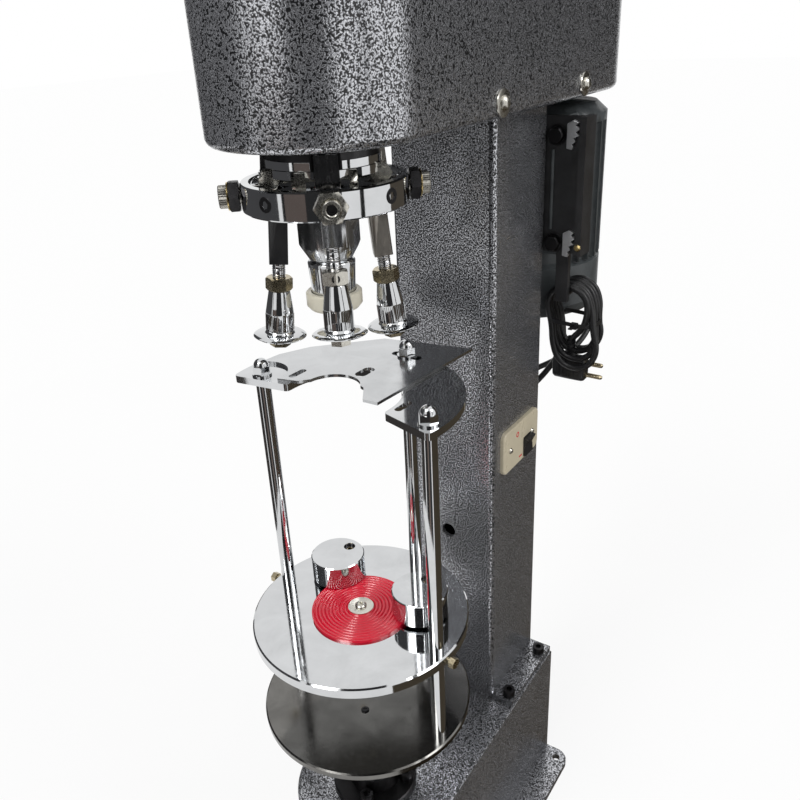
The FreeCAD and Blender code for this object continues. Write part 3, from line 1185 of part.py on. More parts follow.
def make_neck_plate():
    """Plate about the bottle's neck, open to the front between two arms."""
    low, high = NECK_PLATE_BOTTOM, NECK_PLATE_TOP
    plate = cylinder(PLATE_RADIUS, 0, 0, low, high)
    plate = plate.fuse(cylinder(PLATE_RADIUS, NECK_LOBE_X, NECK_LOBE_Y, low, high)).removeSplitter()
    left, right = NECK_FRONT_LEFT, NECK_FRONT_RIGHT
    ahead = -2 * PLATE_RADIUS
    opening_x = (left[1][0] + right[0][0]) / 2
    opening_radius = (right[0][0] - left[1][0]) / 2
    mouth = ((left[1][0], NECK_OPENING_Y), (right[0][0], NECK_OPENING_Y))
    front = left + mouth + right + ((right[1][0], ahead), (left[0][0], ahead))
    plate = plate.cut(polygon_plate(front, low - 1, high + 1))
    plate = plate.cut(cylinder(opening_radius, opening_x, NECK_OPENING_Y, low - 1, high + 1))
    corners = [edge for edge in upright_edges(plate) if edge.Vertexes[0].Y < NECK_OPENING_Y - 1]
    plate = plate.makeFillet(NECK_MOUTH_ROUND, corners)
    for x, y in rod_places():
        plate = plate.cut(cylinder(ROD_STUD_RADIUS + SLIP, x, y, low - 1, high + 1))
    for x in NECK_SLOTS_X:
        plate = plate.cut(slot(x, NECK_SLOT_Y, NECK_SLOT_LENGTH, NECK_SLOT_RADIUS,
                               low - 1, high + 1, along_x=False))
    return on_carriage(plate)


def make_guide_plate():
    """Thin neck guide: clamped under the rear rod's nut, and slid along X to suit a bottle."""
    low, high = NECK_PLATE_TOP, GUIDE_TOP
    rear_x, rear_y = polar(ROD_CIRCLE, ROD_ANGLES[1])
    plate = polygon_plate(GUIDE_OUTLINE, low, high)
    plate = plate.cut(cylinder(GUIDE_BITE_RADIUS, GUIDE_BITE_X, GUIDE_BITE_Y, low - 1, high + 1))
    plate = plate.cut(slot(rear_x, rear_y, 2 * (GUIDE_TRAVEL + ROD_STUD_RADIUS + SLIP),
                           ROD_STUD_RADIUS + SLIP, low - 1, high + 1))
    plate = plate.cut(slot(GUIDE_SLOT_X, GUIDE_SLOT_Y, GUIDE_SLOT_LENGTH, GUIDE_SLOT_RADIUS,
                           low - 1, high + 1, along_x=False))
    plate = plate.cut(slot(NECK_SLOTS_X[0], NECK_SLOT_Y, NECK_SLOT_LENGTH, NECK_SLOT_RADIUS,
                           low - 1, high + 1, along_x=False))
    left_x, left_y = polar(ROD_CIRCLE, ROD_ANGLES[2])
    plate = plate.cut(cylinder(WASHER_RADIUS + GUIDE_TRAVEL + 3, left_x, left_y, low - 1, high + 1))
    return on_carriage(plate)


def make_rod_nuts():
    """Washer and domed nut on each rod; the rear pair clamps the guide plate too."""
    nuts = []
    for index, (x, y) in enumerate(rod_places()):
        seat = GUIDE_TOP if index == 1 else NECK_PLATE_TOP
        washer = ring(WASHER_RADIUS, ROD_STUD_RADIUS, x, y, seat, seat + WASHER_THICKNESS)
        low = seat + WASHER_THICKNESS
        body = hexagon(ACORN_FLATS, low, low + ACORN_HEX, 12)
        dome_radius = ACORN_FLATS / 2 - 0.4
        dome = Part.makeSphere(dome_radius, V(0, 0, low + ACORN_HEX))
        dome = dome.common(cylinder(dome_radius + 1, 0, 0, low + ACORN_HEX - 1, low + ACORN_HEX + 9))
        body = body.fuse(dome)
        body = body.cut(cylinder(ROD_STUD_RADIUS, 0, 0, low - 1, NECK_PLATE_TOP + ROD_STUD_LENGTH))
        nuts += [on_carriage(washer), on_carriage(moved(body.removeSplitter(), x, y, 0))]
    return nuts


def make_lower_plate_screw():
    radius, high = PLATE_SCREW_RADIUS, PLATE_SCREW_HEAD
    head = revolved(((0, 0), (radius, 0), (radius, high - 1), (radius - 1, high), (0, high)))
    screw = head.fuse(cylinder(M8_RADIUS, 0, 0, -LOWER_PLATE_THICKNESS - 14, 0)).removeSplitter()
    return moved(screw, 0, 0, LOWER_PLATE_TOP)


# Bottle tray

def make_upper_plate():
    plate = edged_disc(PLATE_RADIUS, TRAY_BOTTOM, TRAY_TOP)
    for x, y in rod_places():
        plate = plate.cut(cylinder(ROD_RADIUS + RUNNING_FIT, x, y, TRAY_BOTTOM - 1, TRAY_TOP + 1))
    plate = plate.cut(cylinder(M6_RADIUS, 0, 0, TRAY_BOTTOM - 1, TRAY_TOP + 1))
    for angle in (ROD_ANGLES[0], ROD_ANGLES[2]):
        hole = rod(RIM_SCREW_RADIUS, V(ROD_CIRCLE, 0, (TRAY_BOTTOM + TRAY_TOP) / 2), V(1, 0, 0), PLATE_RADIUS)
        plate = plate.cut(turned(hole, angle))
    for side in (-1, 1):
        x, y = pivot_place(side)
        plate = plate.cut(cylinder(ECCENTRIC_SCREW_RADIUS, x, y, TRAY_BOTTOM - 1, TRAY_TOP + 1))
    return on_carriage(plate)


def pivot_place(side):
    x, y = polar(ECCENTRIC_PIVOT_CIRCLE, ECCENTRIC_PIVOT_ANGLE)
    return side * x, y


def make_eccentric(side):
    """Bottle stop: a cylinder that turns about a screw off its middle."""
    pivot_x, pivot_y = pivot_place(side)
    lean_x, lean_y = polar(ECCENTRIC_OFFSET, -ECCENTRIC_LEAN)
    low, high = ECCENTRIC_BOTTOM, ECCENTRIC_BOTTOM + ECCENTRIC_HEIGHT
    edge = 0.8
    body = revolved(((0, low), (ECCENTRIC_RADIUS - edge, low), (ECCENTRIC_RADIUS, low + edge),
                     (ECCENTRIC_RADIUS, high - edge), (ECCENTRIC_RADIUS - edge, high), (0, high)))
    body = moved(body, pivot_x - side * lean_x, pivot_y + lean_y, 0)
    body = body.cut(cylinder(ECCENTRIC_SCREW_RADIUS + RUNNING_FIT, pivot_x, pivot_y, low - 1, high + 1))
    body = body.cut(cylinder(ECCENTRIC_COUNTERBORE, pivot_x, pivot_y,
                             high - ECCENTRIC_COUNTERBORE_DEPTH, high + 1))
    return on_carriage(body)


def make_tray_screws():
    """Rim lock screws, and the screws and spacers that the bottle stops turn on."""
    pieces = []
    head = hexagon(RIM_SCREW_FLATS, 0, RIM_SCREW_HEAD)
    middle = (TRAY_BOTTOM + TRAY_TOP) / 2
    reach = PLATE_RADIUS - ROD_CIRCLE - ROD_RADIUS - SLIP
    shank = cylinder(RIM_SCREW_RADIUS, 0, 0, -reach - RIM_SCREW_GAP, 0)
    lock = aimed(head.fuse(shank).removeSplitter(), V(1, 0, 0), PLATE_RADIUS + RIM_SCREW_GAP, 0, middle)
    for angle in (ROD_ANGLES[0], ROD_ANGLES[2]):
        pieces.append(on_carriage(turned(lock, angle)))
    seat = ECCENTRIC_BOTTOM + ECCENTRIC_HEIGHT - ECCENTRIC_COUNTERBORE_DEPTH
    for side in (-1, 1):
        x, y = pivot_place(side)
        screw = socket_screw(ECCENTRIC_SCREW_RADIUS, ECCENTRIC_SCREW_HEAD_RADIUS, ECCENTRIC_SCREW_HEAD,
                             ECCENTRIC_SCREW_KEY, seat - TRAY_BOTTOM)
        screw = moved(screw, x, y, seat + SLIP)
        spacer = ring(ECCENTRIC_SPACER_RADIUS, ECCENTRIC_SCREW_RADIUS, x, y, TRAY_TOP,
                      ECCENTRIC_BOTTOM - SLIP)
        pieces += [on_carriage(screw), on_carriage(spacer)]
    return pieces


def make_rubber_pad():
    top = TRAY_TOP + PAD_DISC_THICKNESS
    pad = revolved(((M6_RADIUS + HOLE_CLEARANCE, TRAY_TOP), (PAD_DISC_RADIUS, TRAY_TOP),
                    (PAD_DISC_RADIUS, top - 0.6), (PAD_DISC_RADIUS - 0.6, top),
                    (M6_RADIUS + HOLE_CLEARANCE, top)))
    for radius in PAD_GROOVES:
        half = PAD_GROOVE_WIDTH / 2
        pad = pad.cut(ring(radius + half, radius - half, 0, 0, top - PAD_GROOVE_DEPTH, top + 1))
    return pad


def make_pad_screw():
    seat = TRAY_TOP + PAD_DISC_THICKNESS
    washer = cylinder(PAD_WASHER_RADIUS, 0, 0, seat, seat + 1)
    head = revolved(((0, seat + 1), (5, seat + 1), (5, seat + 2), (3.8, seat + 3.2), (0, seat + 3.2)))
    head = head.cut(hexagon(4, seat + 1.4, seat + 4))
    shank = cylinder(M6_RADIUS, 0, 0, TRAY_BOTTOM, seat)
    return washer.fuse(head).fuse(shank).removeSplitter()


# Switch

def make_switch_plate():
    face = COLUMN_WIDTH / 2
    half_y, half_z = SWITCH_WIDTH / 2, SWITCH_HEIGHT / 2
    plate = box(face, face + SWITCH_THICKNESS, SWITCH_Y - half_y, SWITCH_Y + half_y,
                SWITCH_Z - half_z, SWITCH_Z + half_z)
    corners = [edge for edge in plate.Edges
               if abs(edge.Vertexes[0].X - edge.Vertexes[-1].X) > 1]
    plate = plate.makeFillet(SWITCH_CORNER, corners)
    rim = [edge for edge in plate.Edges
           if edge.BoundBox.XMin > face + SWITCH_THICKNESS - 1e-6]
    plate = plate.makeFillet(1.5, rim)
    hole = box(face - 1, face + SWITCH_THICKNESS + 1,
               ROCKER_Y - ROCKER_WIDTH / 2 - SLIP, ROCKER_Y + ROCKER_WIDTH / 2 + SLIP,
               ROCKER_Z - ROCKER_HEIGHT / 2 - 1.2, ROCKER_Z + ROCKER_HEIGHT / 2 + 1.2)
    plate = plate.cut(hole)
    for side in (-1, 1):
        y = SWITCH_Y + side * (half_y - 14)
        plate = plate.cut(rod(1.8, V(face - 1, y, SWITCH_Z), V(1, 0, 0), SWITCH_THICKNESS + 2))
    pin = rod(ROCKER_PIN_RADIUS, V(face + ROCKER_SEAT, ROCKER_Y - ROCKER_WIDTH / 2 - SLIP - 1, ROCKER_Z), V(0, 1, 0),
              ROCKER_WIDTH + 2 * SLIP + 2)
    return plate.fuse(pin).removeSplitter()


def make_switch_rocker():
    face = COLUMN_WIDTH / 2 + ROCKER_SEAT
    half = ROCKER_HEIGHT / 2
    outline = [V(-ROCKER_DEPTH, 0, -half * 0.6), V(0, 0, -half), V(ROCKER_OUT + 1.6, 0, -half * 0.96),
               V(ROCKER_OUT - 0.8, 0, 0), V(ROCKER_OUT + 1.6, 0, half * 0.96), V(0, 0, half),
               V(-ROCKER_DEPTH, 0, half * 0.6)]
    outline.append(outline[0])
    rocker = Part.Face(Part.makePolygon(outline)).extrude(V(0, ROCKER_WIDTH, 0))
    rocker = moved(rocker, 0, -ROCKER_WIDTH / 2, 0)
    rocker = rocker.cut(rod(ROCKER_PIN_RADIUS + RUNNING_FIT, V(0, -ROCKER_WIDTH, 0), V(0, 1, 0),
                            2 * ROCKER_WIDTH))
    rocker = turned(rocker, ROCKER_TILT, V(0, 0, 0), V(0, 1, 0))
    return moved(rocker, face, ROCKER_Y, ROCKER_Z)


# Cords

def from_gland(side, steps):
    """Route whose points are measured from the mouth of one of the two glands."""
    return [V(side * GLAND_X + x, COLUMN_REAR + GLAND_LENGTH + y, GLAND_Z + z) for x, y, z in steps]


def cord_tube(points, radius, name):
    """Tube of straight runs joined by tangent arcs, as large as the runs allow."""
    edges = []
    start = points[0]
    radii = []
    for index in range(1, len(points) - 1):
        before, corner, after = points[index - 1], points[index], points[index + 1]
        incoming, outgoing = corner - before, after - corner
        shorter = min(incoming.Length, outgoing.Length)
        turn = incoming.getAngle(outgoing)
        arc_radius = 0.45 * shorter / math.tan(turn / 2)
        trim = 0.45 * shorter
        incoming.normalize()
        outgoing.normalize()
        arc_start, arc_end = corner - incoming * trim, corner + outgoing * trim
        inward = (outgoing - incoming).normalize()
        sagitta = arc_radius / math.cos(turn / 2) - arc_radius
        middle = corner + inward * sagitta
        edges.append(Part.LineSegment(start, arc_start).toShape())
        edges.append(Part.Arc(arc_start, middle, arc_end).toShape())
        start = arc_end
        radii.append(round(arc_radius, 1))
    edges.append(Part.LineSegment(start, points[-1]).toShape())
    path = Part.Wire(edges)
    section = Part.Wire(Part.makeCircle(radius, points[0], points[1] - points[0]))
    tube = path.makePipeShell([section], True, False)
    length = sum(edge.Length for edge in edges)
    print(name, "length", round(length, 1), "arc radii", radii, "volume ratio",
          round(tube.Volume / (math.pi * radius ** 2 * length), 4))
    return tube


def make_cord_gland():
    """Two glands in the column's rear wall: mains lead and motor cable."""
    glands = []
    for x in (-GLAND_X, GLAND_X):
        nut = hexagon(GLAND_RADIUS * 1.8, 0, 5)
        dome = revolved(((0, 5), (GLAND_RADIUS - 1, 5), (GLAND_RADIUS - 1, 10),
                         (CORD_RADIUS + 2, GLAND_LENGTH), (0, GLAND_LENGTH)))
        body = nut.fuse(dome).cut(cylinder(CORD_RADIUS, 0, 0, -1, GLAND_LENGTH + 1))
        glands.append(aimed(body.removeSplitter(), V(0, 1, 0), x, COLUMN_REAR, GLAND_Z))
    return glands


def make_cord_hank():
    """Outer shape of the wound lead: a waisted bundle with rounded ends."""
    wires = []
    for drop, x, half_x, half_y in HANK_SECTIONS:
        ellipse = Part.Ellipse(V(0, 0, 0), half_x, half_y).toShape()
        ellipse.translate(V(HANK_X + x, HANK_Y, HANK_TOP - drop * HANK_LENGTH / HANK_SECTIONS[-1][0]))
        wires.append(Part.Wire(ellipse))
    return Part.makeLoft(wires, True, False)


def make_power_plug():
    """Moulded two-pin plug, hanging from the hank by its strain relief."""
    top = HANK_BOTTOM - SLIP
    half = PLUG_WIDTH / 2
    body = box(-PLUG_LENGTH / 2, PLUG_LENGTH / 2, -PLUG_THICKNESS / 2, PLUG_THICKNESS / 2, -half, half)
    body = body.makeFillet(4, body.Edges)
    for z in (-half / 2, half / 2):
        body = body.fuse(rod(PLUG_PIN_RADIUS, V(PLUG_LENGTH / 2 - 1, 0, z), V(1, 0, 0),
                             PLUG_PIN_LENGTH + 1))
    body = body.fuse(cylinder(PLUG_RELIEF_RADIUS, 0, 0, 0, half + PLUG_RELIEF)).removeSplitter()
    return moved(body, HANK_X - PLUG_SHIFT, HANK_Y, top - half)


# Every node

save("foot_plate", make_foot_plate())
save("base_box", make_base_box())
save("column", make_column())
save("socket_screws", *make_socket_screws())
save("lift_bush", make_lift_bush())
save("head_plate", make_head_plate())
save("hood", make_hood())
save("hood_screws", *make_hood_screws())
save("bearing_housing", make_bearing_housing())
save("hex_bolts", *make_hex_bolts())
save("spindle_bearings", *make_spindle_bearings())
save("motor_bracket", make_motor_bracket())
save("motor_body", make_motor_body())
save("motor_fan_cover", make_motor_fan_cover())
save("terminal_box", make_terminal_box())
save("motor_shaft", make_motor_shaft())
save("motor_pulley", pulley(MOTOR_PULLEY_RADIUS, MOTOR_SHAFT_RADIUS, 0, MOTOR_Y))
save("spindle_pulley", pulley(SPINDLE_PULLEY_RADIUS, SPINDLE_RADIUS, 0, 0))
save("drive_belt", make_drive_belt())
save("spindle_shaft", *make_spindle_shaft())
save("head_flange", make_head_flange())
save("arm_carrier", make_arm_carrier())
save("arm_pivots", *make_arm_pivots())
save("adjusting_ring", make_adjusting_ring())
save("adjusting_screws", *make_adjusting_screws())
for number in range(ARM_COUNT):
    save("arm_%d" % (number + 1), make_arm(number))
    save("stem_nuts_%d" % (number + 1), *make_stem_nuts(number))
    save("roller_%d" % (number + 1), make_roller(number))
save("chuck_body", make_chuck_body())
save("chuck_sleeve", make_chuck_sleeve())
save("chuck_pad", make_chuck_pad())
save("chuck_spring", make_chuck_spring())
save("lift_shaft", make_lift_shaft())
save("lower_plate", make_lower_plate())
save("tray_rods", *make_tray_rods())
save("neck_plate", make_neck_plate())
save("guide_plate", make_guide_plate())
save("rod_nuts", *make_rod_nuts(), make_lower_plate_screw())
save("upper_plate", make_upper_plate())
save("tray_screws", *make_tray_screws())
save("rubber_pad", make_rubber_pad())
save("pad_screw", make_pad_screw())
save("eccentric_left", make_eccentric(-1))
save("eccentric_right", make_eccentric(1))
save("switch_plate", make_switch_plate())
save("switch_rocker", make_switch_rocker())
save("cord_gland", *make_cord_gland())
power_cord = cord_tube(from_gland(1, CORD_STEPS), CORD_RADIUS, "power_cord")
power_plug = make_power_plug()
save("power_cord", power_cord)
motor_cable_route = from_gland(-1, MOTOR_CABLE_STEPS)
motor_cable_end = V(motor_cable_route[-1].x, motor_cable_route[-1].y, TERMINAL_BOTTOM)
save("motor_cable", cord_tube(motor_cable_route + [motor_cable_end], CORD_RADIUS, "motor_cable"))
save("cord_hank", make_cord_hank().cut(power_cord).cut(power_plug).cut(hook_peg(SLIP)))
save("power_plug", power_plug)
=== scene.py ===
"""Looks of a bottle capping machine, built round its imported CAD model."""

import json
import logging
import math
from dataclasses import dataclass
from enum import Enum
from typing import Callable, Iterable, Optional, Sequence, Union

import bmesh
import bpy
from mathutils import Matrix, Vector


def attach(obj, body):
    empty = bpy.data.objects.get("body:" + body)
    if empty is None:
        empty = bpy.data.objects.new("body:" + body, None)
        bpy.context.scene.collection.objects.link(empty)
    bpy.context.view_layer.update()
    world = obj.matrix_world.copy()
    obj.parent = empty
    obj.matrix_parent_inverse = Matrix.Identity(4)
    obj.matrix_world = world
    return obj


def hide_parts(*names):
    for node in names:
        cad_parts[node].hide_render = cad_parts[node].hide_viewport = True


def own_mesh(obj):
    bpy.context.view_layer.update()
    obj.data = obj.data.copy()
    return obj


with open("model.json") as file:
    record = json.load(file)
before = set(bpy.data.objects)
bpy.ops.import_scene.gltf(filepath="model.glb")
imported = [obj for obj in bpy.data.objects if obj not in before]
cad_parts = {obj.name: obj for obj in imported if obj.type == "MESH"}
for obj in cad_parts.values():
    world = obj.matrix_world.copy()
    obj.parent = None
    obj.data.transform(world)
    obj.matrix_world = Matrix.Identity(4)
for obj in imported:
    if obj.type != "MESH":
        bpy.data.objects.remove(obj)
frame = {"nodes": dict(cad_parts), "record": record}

LOG = logging.getLogger("capping_machine")
MM = 0.001
TAU = 2 * math.pi
Point = tuple[float, float, float]
Reach = Union[float, Callable[[float], float]]


class Way(Enum):
    """Directions that fasteners are driven from."""

    UP = (0.0, 0.0, 1.0)
    FRONT = (0.0, -1.0, 0.0)
    BACK = (0.0, 1.0, 0.0)
    RIGHT = (1.0, 0.0, 0.0)


class Drive(Enum):
    """Recess in a screw's head."""

    HEXAGON = "hexagon"
    CROSS = "cross"


# Materials


class Graph:
    """Short way to write a material's nodes."""

    def __init__(self, name: str) -> None:
        """Make an empty material with its shader and Object coordinates.

        Args:
            name: The material's name.
        """
        self.material = bpy.data.materials.new(name)
        self.material.use_nodes = True
        self.nodes = self.material.node_tree.nodes
        self.links = self.material.node_tree.links
        self.shader = next(n for n in self.nodes if n.type == "BSDF_PRINCIPLED")
        self.place = self.nodes.new("ShaderNodeTexCoord").outputs["Object"]

    def fixed(self, **sockets: object) -> None:
        """Set shader sockets that are the same all over the surface."""
        for name, value in sockets.items():
            self.shader.inputs[name.replace("_", " ").title()].default_value = value

    def stretched(self, scale: Point) -> bpy.types.NodeSocket:
        """Give Object coordinates, scaled by axis.

        Args:
            scale: Factor along each axis.

        Returns:
            The coordinates' socket.
        """
        node = self.nodes.new("ShaderNodeMapping")
        node.inputs["Scale"].default_value = scale
        self.links.new(self.place, node.inputs["Vector"])
        return node.outputs["Vector"]

    def noise(self, scale: float, detail: float = 2.0, rough: float = 0.5, twist: float = 0.0,
              at: Optional[bpy.types.NodeSocket] = None) -> bpy.types.NodeSocket:
        """Give a noise value about 0.5.

        Args:
            scale: Cells to the metre.
            detail: Octaves.
            rough: How much the finer octaves count.
            twist: Distortion.
            at: Coordinates, or None for Object coordinates.

        Returns:
            The value's socket.
        """
        node = self.nodes.new("ShaderNodeTexNoise")
        node.inputs["Scale"].default_value = scale
        node.inputs["Detail"].default_value = detail
        node.inputs["Roughness"].default_value = rough
        node.inputs["Distortion"].default_value = twist
        self.links.new(at or self.place, node.inputs["Vector"])
        return node.outputs[0]

    def span(self, value: bpy.types.NodeSocket, low: float, high: float, to_low: float = 0.0,
             to_high: float = 1.0) -> bpy.types.NodeSocket:
        """Map a value from one range to another, held inside it.

        Args:
            value: The value.
            low: Start of its range.
            high: End of its range.
            to_low: What the start becomes.
            to_high: What the end becomes.

        Returns:
            The mapped value's socket.
        """
        node = self.nodes.new("ShaderNodeMapRange")
        for name, number in (("From Min", low), ("From Max", high), ("To Min", to_low), ("To Max", to_high)):
            node.inputs[name].default_value = number
        self.links.new(value, node.inputs["Value"])
        return node.outputs["Result"]

    def total(self, first: bpy.types.NodeSocket, second: bpy.types.NodeSocket) -> bpy.types.NodeSocket:
        """Add two values.

        Args:
            first: One value.
            second: The other.

        Returns:
            Their sum's socket.
        """
        node = self.nodes.new("ShaderNodeMath")
        self.links.new(first, node.inputs[0])
        self.links.new(second, node.inputs[1])
        return node.outputs[0]

    def blend(self, share: bpy.types.NodeSocket, first: object, second: object) -> bpy.types.NodeSocket:
        """Mix two colours, each a tuple or a socket.

        Args:
            share: How much of the second colour shows.
            first: Colour where the share is 0.
            second: Colour where the share is 1.

        Returns:
            The mixed colour's socket.
        """
        node = self.nodes.new("ShaderNodeMix")
        node.data_type = "RGBA"
        self.links.new(share, node.inputs[0])
        for index, colour in ((6, first), (7, second)):
            if isinstance(colour, tuple):
                node.inputs[index].default_value = (*colour, 1.0)
            else:
                self.links.new(colour, node.inputs[index])
        return node.outputs[2]

    def paint(self, socket: str, value: bpy.types.NodeSocket) -> None:
        """Link a value to one of the shader's sockets."""
        self.links.new(value, self.shader.inputs[socket])

    def relief(self, height: bpy.types.NodeSocket, depth_mm: float,
               below: Optional[bpy.types.NodeSocket] = None) -> bpy.types.NodeSocket:
        """Add a bump to the surface.

        Args:
            height: Height, from 0 to 1.
            depth_mm: Depth of the bump in millimetres.
            below: Normal of a finer bump under this one.

        Returns:
            The bumped normal's socket.
        """
        node = self.nodes.new("ShaderNodeBump")
        node.inputs["Distance"].default_value = depth_mm * MM
        node.inputs["Strength"].default_value = 1.0
        self.links.new(height, node.inputs["Height"])
        if below is not None:
            self.links.new(below, node.inputs["Normal"])
        self.links.new(node.outputs["Normal"], self.shader.inputs["Normal"])
        return node.outputs["Normal"]


@dataclass(frozen=True)
class HammertonePaint:
    """Black paint whose silver flake has flowed into a fine labyrinth."""

    name: str
    dark: Point = (0.0035, 0.0037, 0.0046)
    light: Point = (0.66, 0.67, 0.71)
    pitch_mm: float = 1.25
    relief_mm: float = 0.08
    threshold: float = 0.505
    softness: float = 0.07
    cloud_cells: float = 30
    grain_cells: float = 3400
    grain_mm: float = 0.02

    def build(self) -> bpy.types.Material:
        """Make the material.

        Returns:
            The material.
        """
        g = Graph(self.name)
        veins = g.noise(1000 / self.pitch_mm, detail=0.6, rough=0.4, twist=0.35)
        clouds = g.noise(self.cloud_cells, detail=2.0, rough=0.5)
        mixed = g.total(veins, g.span(clouds, 0.3, 0.7, to_low=-0.018, to_high=0.018))
        flake = g.span(mixed, self.threshold - self.softness, self.threshold + self.softness)
        grains = g.noise(self.grain_cells, detail=1.0, rough=0.5)
        sparkle = g.span(grains, 0.38, 0.66)
        dim, full = (tuple(c * share for c in self.light) for share in (0.4, 1.5))
        bright = g.blend(sparkle, dim, full)
        g.paint("Base Color", g.blend(flake, self.dark, bright))
        g.paint("Metallic", g.span(flake, 0, 1, to_low=0.0, to_high=0.92))
        g.paint("Roughness", g.span(flake, 0, 1, to_low=0.3, to_high=0.18))
        g.fixed(coat_weight=0.25, coat_roughness=0.1)
        fine = g.relief(grains, self.grain_mm)
        g.relief(g.span(veins, 0.3, 0.7), self.relief_mm, fine)
        return g.material


@dataclass(frozen=True)
class PlainPaint:
    """Smooth paint with a slight orange peel and dust."""

    name: str
    colour: Point
    roughness: float = 0.38
    peel_mm: float = 0.05

    def build(self) -> bpy.types.Material:
        """Make the material.

        Returns:
            The material.
        """
        g = Graph(self.name)
        dust = g.noise(60, detail=4.0, rough=0.6)
        dusty = tuple(c * 1.5 + 0.006 for c in self.colour)
        g.paint("Base Color", g.blend(g.span(dust, 0.35, 0.75), self.colour, dusty))
        g.paint("Roughness", g.span(dust, 0.3, 0.8, self.roughness * 0.8, self.roughness * 1.4))
        g.fixed(coat_weight=0.15, coat_roughness=0.2)
        g.relief(g.noise(500, detail=1.0, rough=0.5), self.peel_mm)
        return g.material


@dataclass(frozen=True)
class Metal:
    """Bare or plated metal with smears, fine scratches and a lay of grinding."""

    name: str
    colour: Point
    roughness: float = 0.08
    lay: Point = (60.0, 60.0, 60.0)
    lay_mm: float = 0.004
    stain: float = 0.12

    def build(self) -> bpy.types.Material:
        """Make the material.

        Returns:
            The material.
        """
        g = Graph(self.name)
        smear = g.noise(35, detail=4.0, rough=0.6, twist=0.4)
        scratch = g.noise(1.0, detail=3.0, rough=0.6, at=g.stretched(tuple(8 * s for s in self.lay)))
        dull = tuple(c * (1 - self.stain) for c in self.colour)
        g.paint("Base Color", g.blend(g.span(smear, 0.35, 0.72), self.colour, dull))
        g.paint("Roughness", g.total(g.span(smear, 0.3, 0.75, self.roughness * 0.7, self.roughness * 1.5),
                                     g.span(scratch, 0.45, 0.8, 0.0, self.roughness * 0.6)))
        g.fixed(metallic=1.0)
        g.relief(scratch, self.lay_mm)
        return g.material


@dataclass(frozen=True)
class Moulded:
    """Moulded plastic or rubber with a fine grain and soft soiling."""

    name: str
    colour: Point
    roughness: float = 0.35
    grain_mm: float = 0.03
    grain_pitch_mm: float = 0.6
    soil: float = 0.15
    coat: float = 0.0

    def build(self) -> bpy.types.Material:
        """Make the material.

        Returns:
            The material.
        """
        g = Graph(self.name)
        soil = g.noise(45, detail=4.0, rough=0.6)
        soiled = tuple(c * (1 - self.soil) for c in self.colour)
        g.paint("Base Color", g.blend(g.span(soil, 0.4, 0.75), self.colour, soiled))
        g.paint("Roughness", g.span(soil, 0.3, 0.8, self.roughness * 0.85, self.roughness * 1.3))
        g.fixed(coat_weight=self.coat, coat_roughness=0.08)
        g.relief(g.noise(1000 / self.grain_pitch_mm, detail=2.0, rough=0.5), self.grain_mm)
        return g.material


FINISHES = (
    HammertonePaint("hammertone"),
    PlainPaint("black_enamel", (0.013, 0.013, 0.014)),
    PlainPaint("grey_enamel", (0.05, 0.057, 0.06), 0.42),
    Metal("chrome_plate", (0.66, 0.67, 0.68), 0.055),
    Metal("chrome_turned", (0.66, 0.66, 0.67), 0.09, (4.0, 4.0, 260.0), 0.006),
    Metal("brushed_guide", (0.62, 0.63, 0.64), 0.14, (20.0, 300.0, 60.0), 0.006),
    Metal("black_oxide", (0.045, 0.044, 0.046), 0.33, (60.0, 60.0, 20.0), 0.02, 0.3),
    Metal("blued_steel", (0.2, 0.2, 0.205), 0.2, (60.0, 60.0, 15.0), 0.012, 0.35),
    Metal("bare_steel", (0.42, 0.39, 0.35), 0.3, (60.0, 60.0, 15.0), 0.02, 0.3),
    # lower plate's steel: random smears, plus a base colour darkened well below the other plated steel as
    # painted shade for the shadowed underside of the upper plate that it mirrors
    Metal("smudged_painted_shade_steel", (0.2, 0.195, 0.185), 0.13, (40.0, 40.0, 40.0), 0.006, 0.35),
    Metal("zinc_plate", (0.66, 0.64, 0.58), 0.24, (90.0, 90.0, 90.0), 0.012, 0.25),
    Metal("nickel_brass", (0.5, 0.43, 0.29), 0.22, (90.0, 90.0, 90.0), 0.012, 0.3),
    Metal("yellow_brass", (0.72, 0.56, 0.26), 0.2, (90.0, 90.0, 90.0), 0.01, 0.3),
    Metal("machined_iron", (0.3, 0.3, 0.31), 0.35, (90.0, 90.0, 90.0), 0.02, 0.2),
    Metal("cast_aluminium", (0.62, 0.63, 0.64), 0.4, (90.0, 90.0, 90.0), 0.05, 0.15),
    Moulded("ivory_plastic", (0.55, 0.49, 0.36), 0.3, 0.01, 0.8, 0.1),
    Moulded("pale_ivory", (0.7, 0.66, 0.54), 0.35, 0.01, 0.8, 0.1),
    Moulded("black_plastic", (0.012, 0.012, 0.013), 0.35),
    Moulded("cord_rubber", (0.011, 0.011, 0.012), 0.38, 0.02, 0.5, 0.2),
    Moulded("belt_rubber", (0.02, 0.02, 0.021), 0.6),
    Moulded("red_rubber", (0.66, 0.006, 0.03), 0.22, 0.02, 0.9, 0.12, 0.4),
)


def finishes() -> dict[str, bpy.types.Material]:
    """Make every finish once, by name."""
    return {finish.name: finish.build() for finish in FINISHES}


MATERIALS = finishes()


# Mesh shaping, in millimetres


def circle(reach: Reach, height: float, steps: int) -> list[Point]:
    """Give a ring of points about Z.

    Args:
        reach: Radius, or a function that gives it for an angle.
        height: Height of the ring.
        steps: Points to the turn.

    Returns:
        The points.
    """
    ring = []
    for i in range(steps):
        angle = TAU * i / steps
        radius = reach(angle) if callable(reach) else reach
        ring.append((radius * math.cos(angle), radius * math.sin(angle), height))
    return ring


def hexagon(flats: float, angle: float) -> float:
    """Radius of a hexagon at an angle."""
    return flats / 2 / math.cos((angle % (TAU / 6)) - TAU / 12)


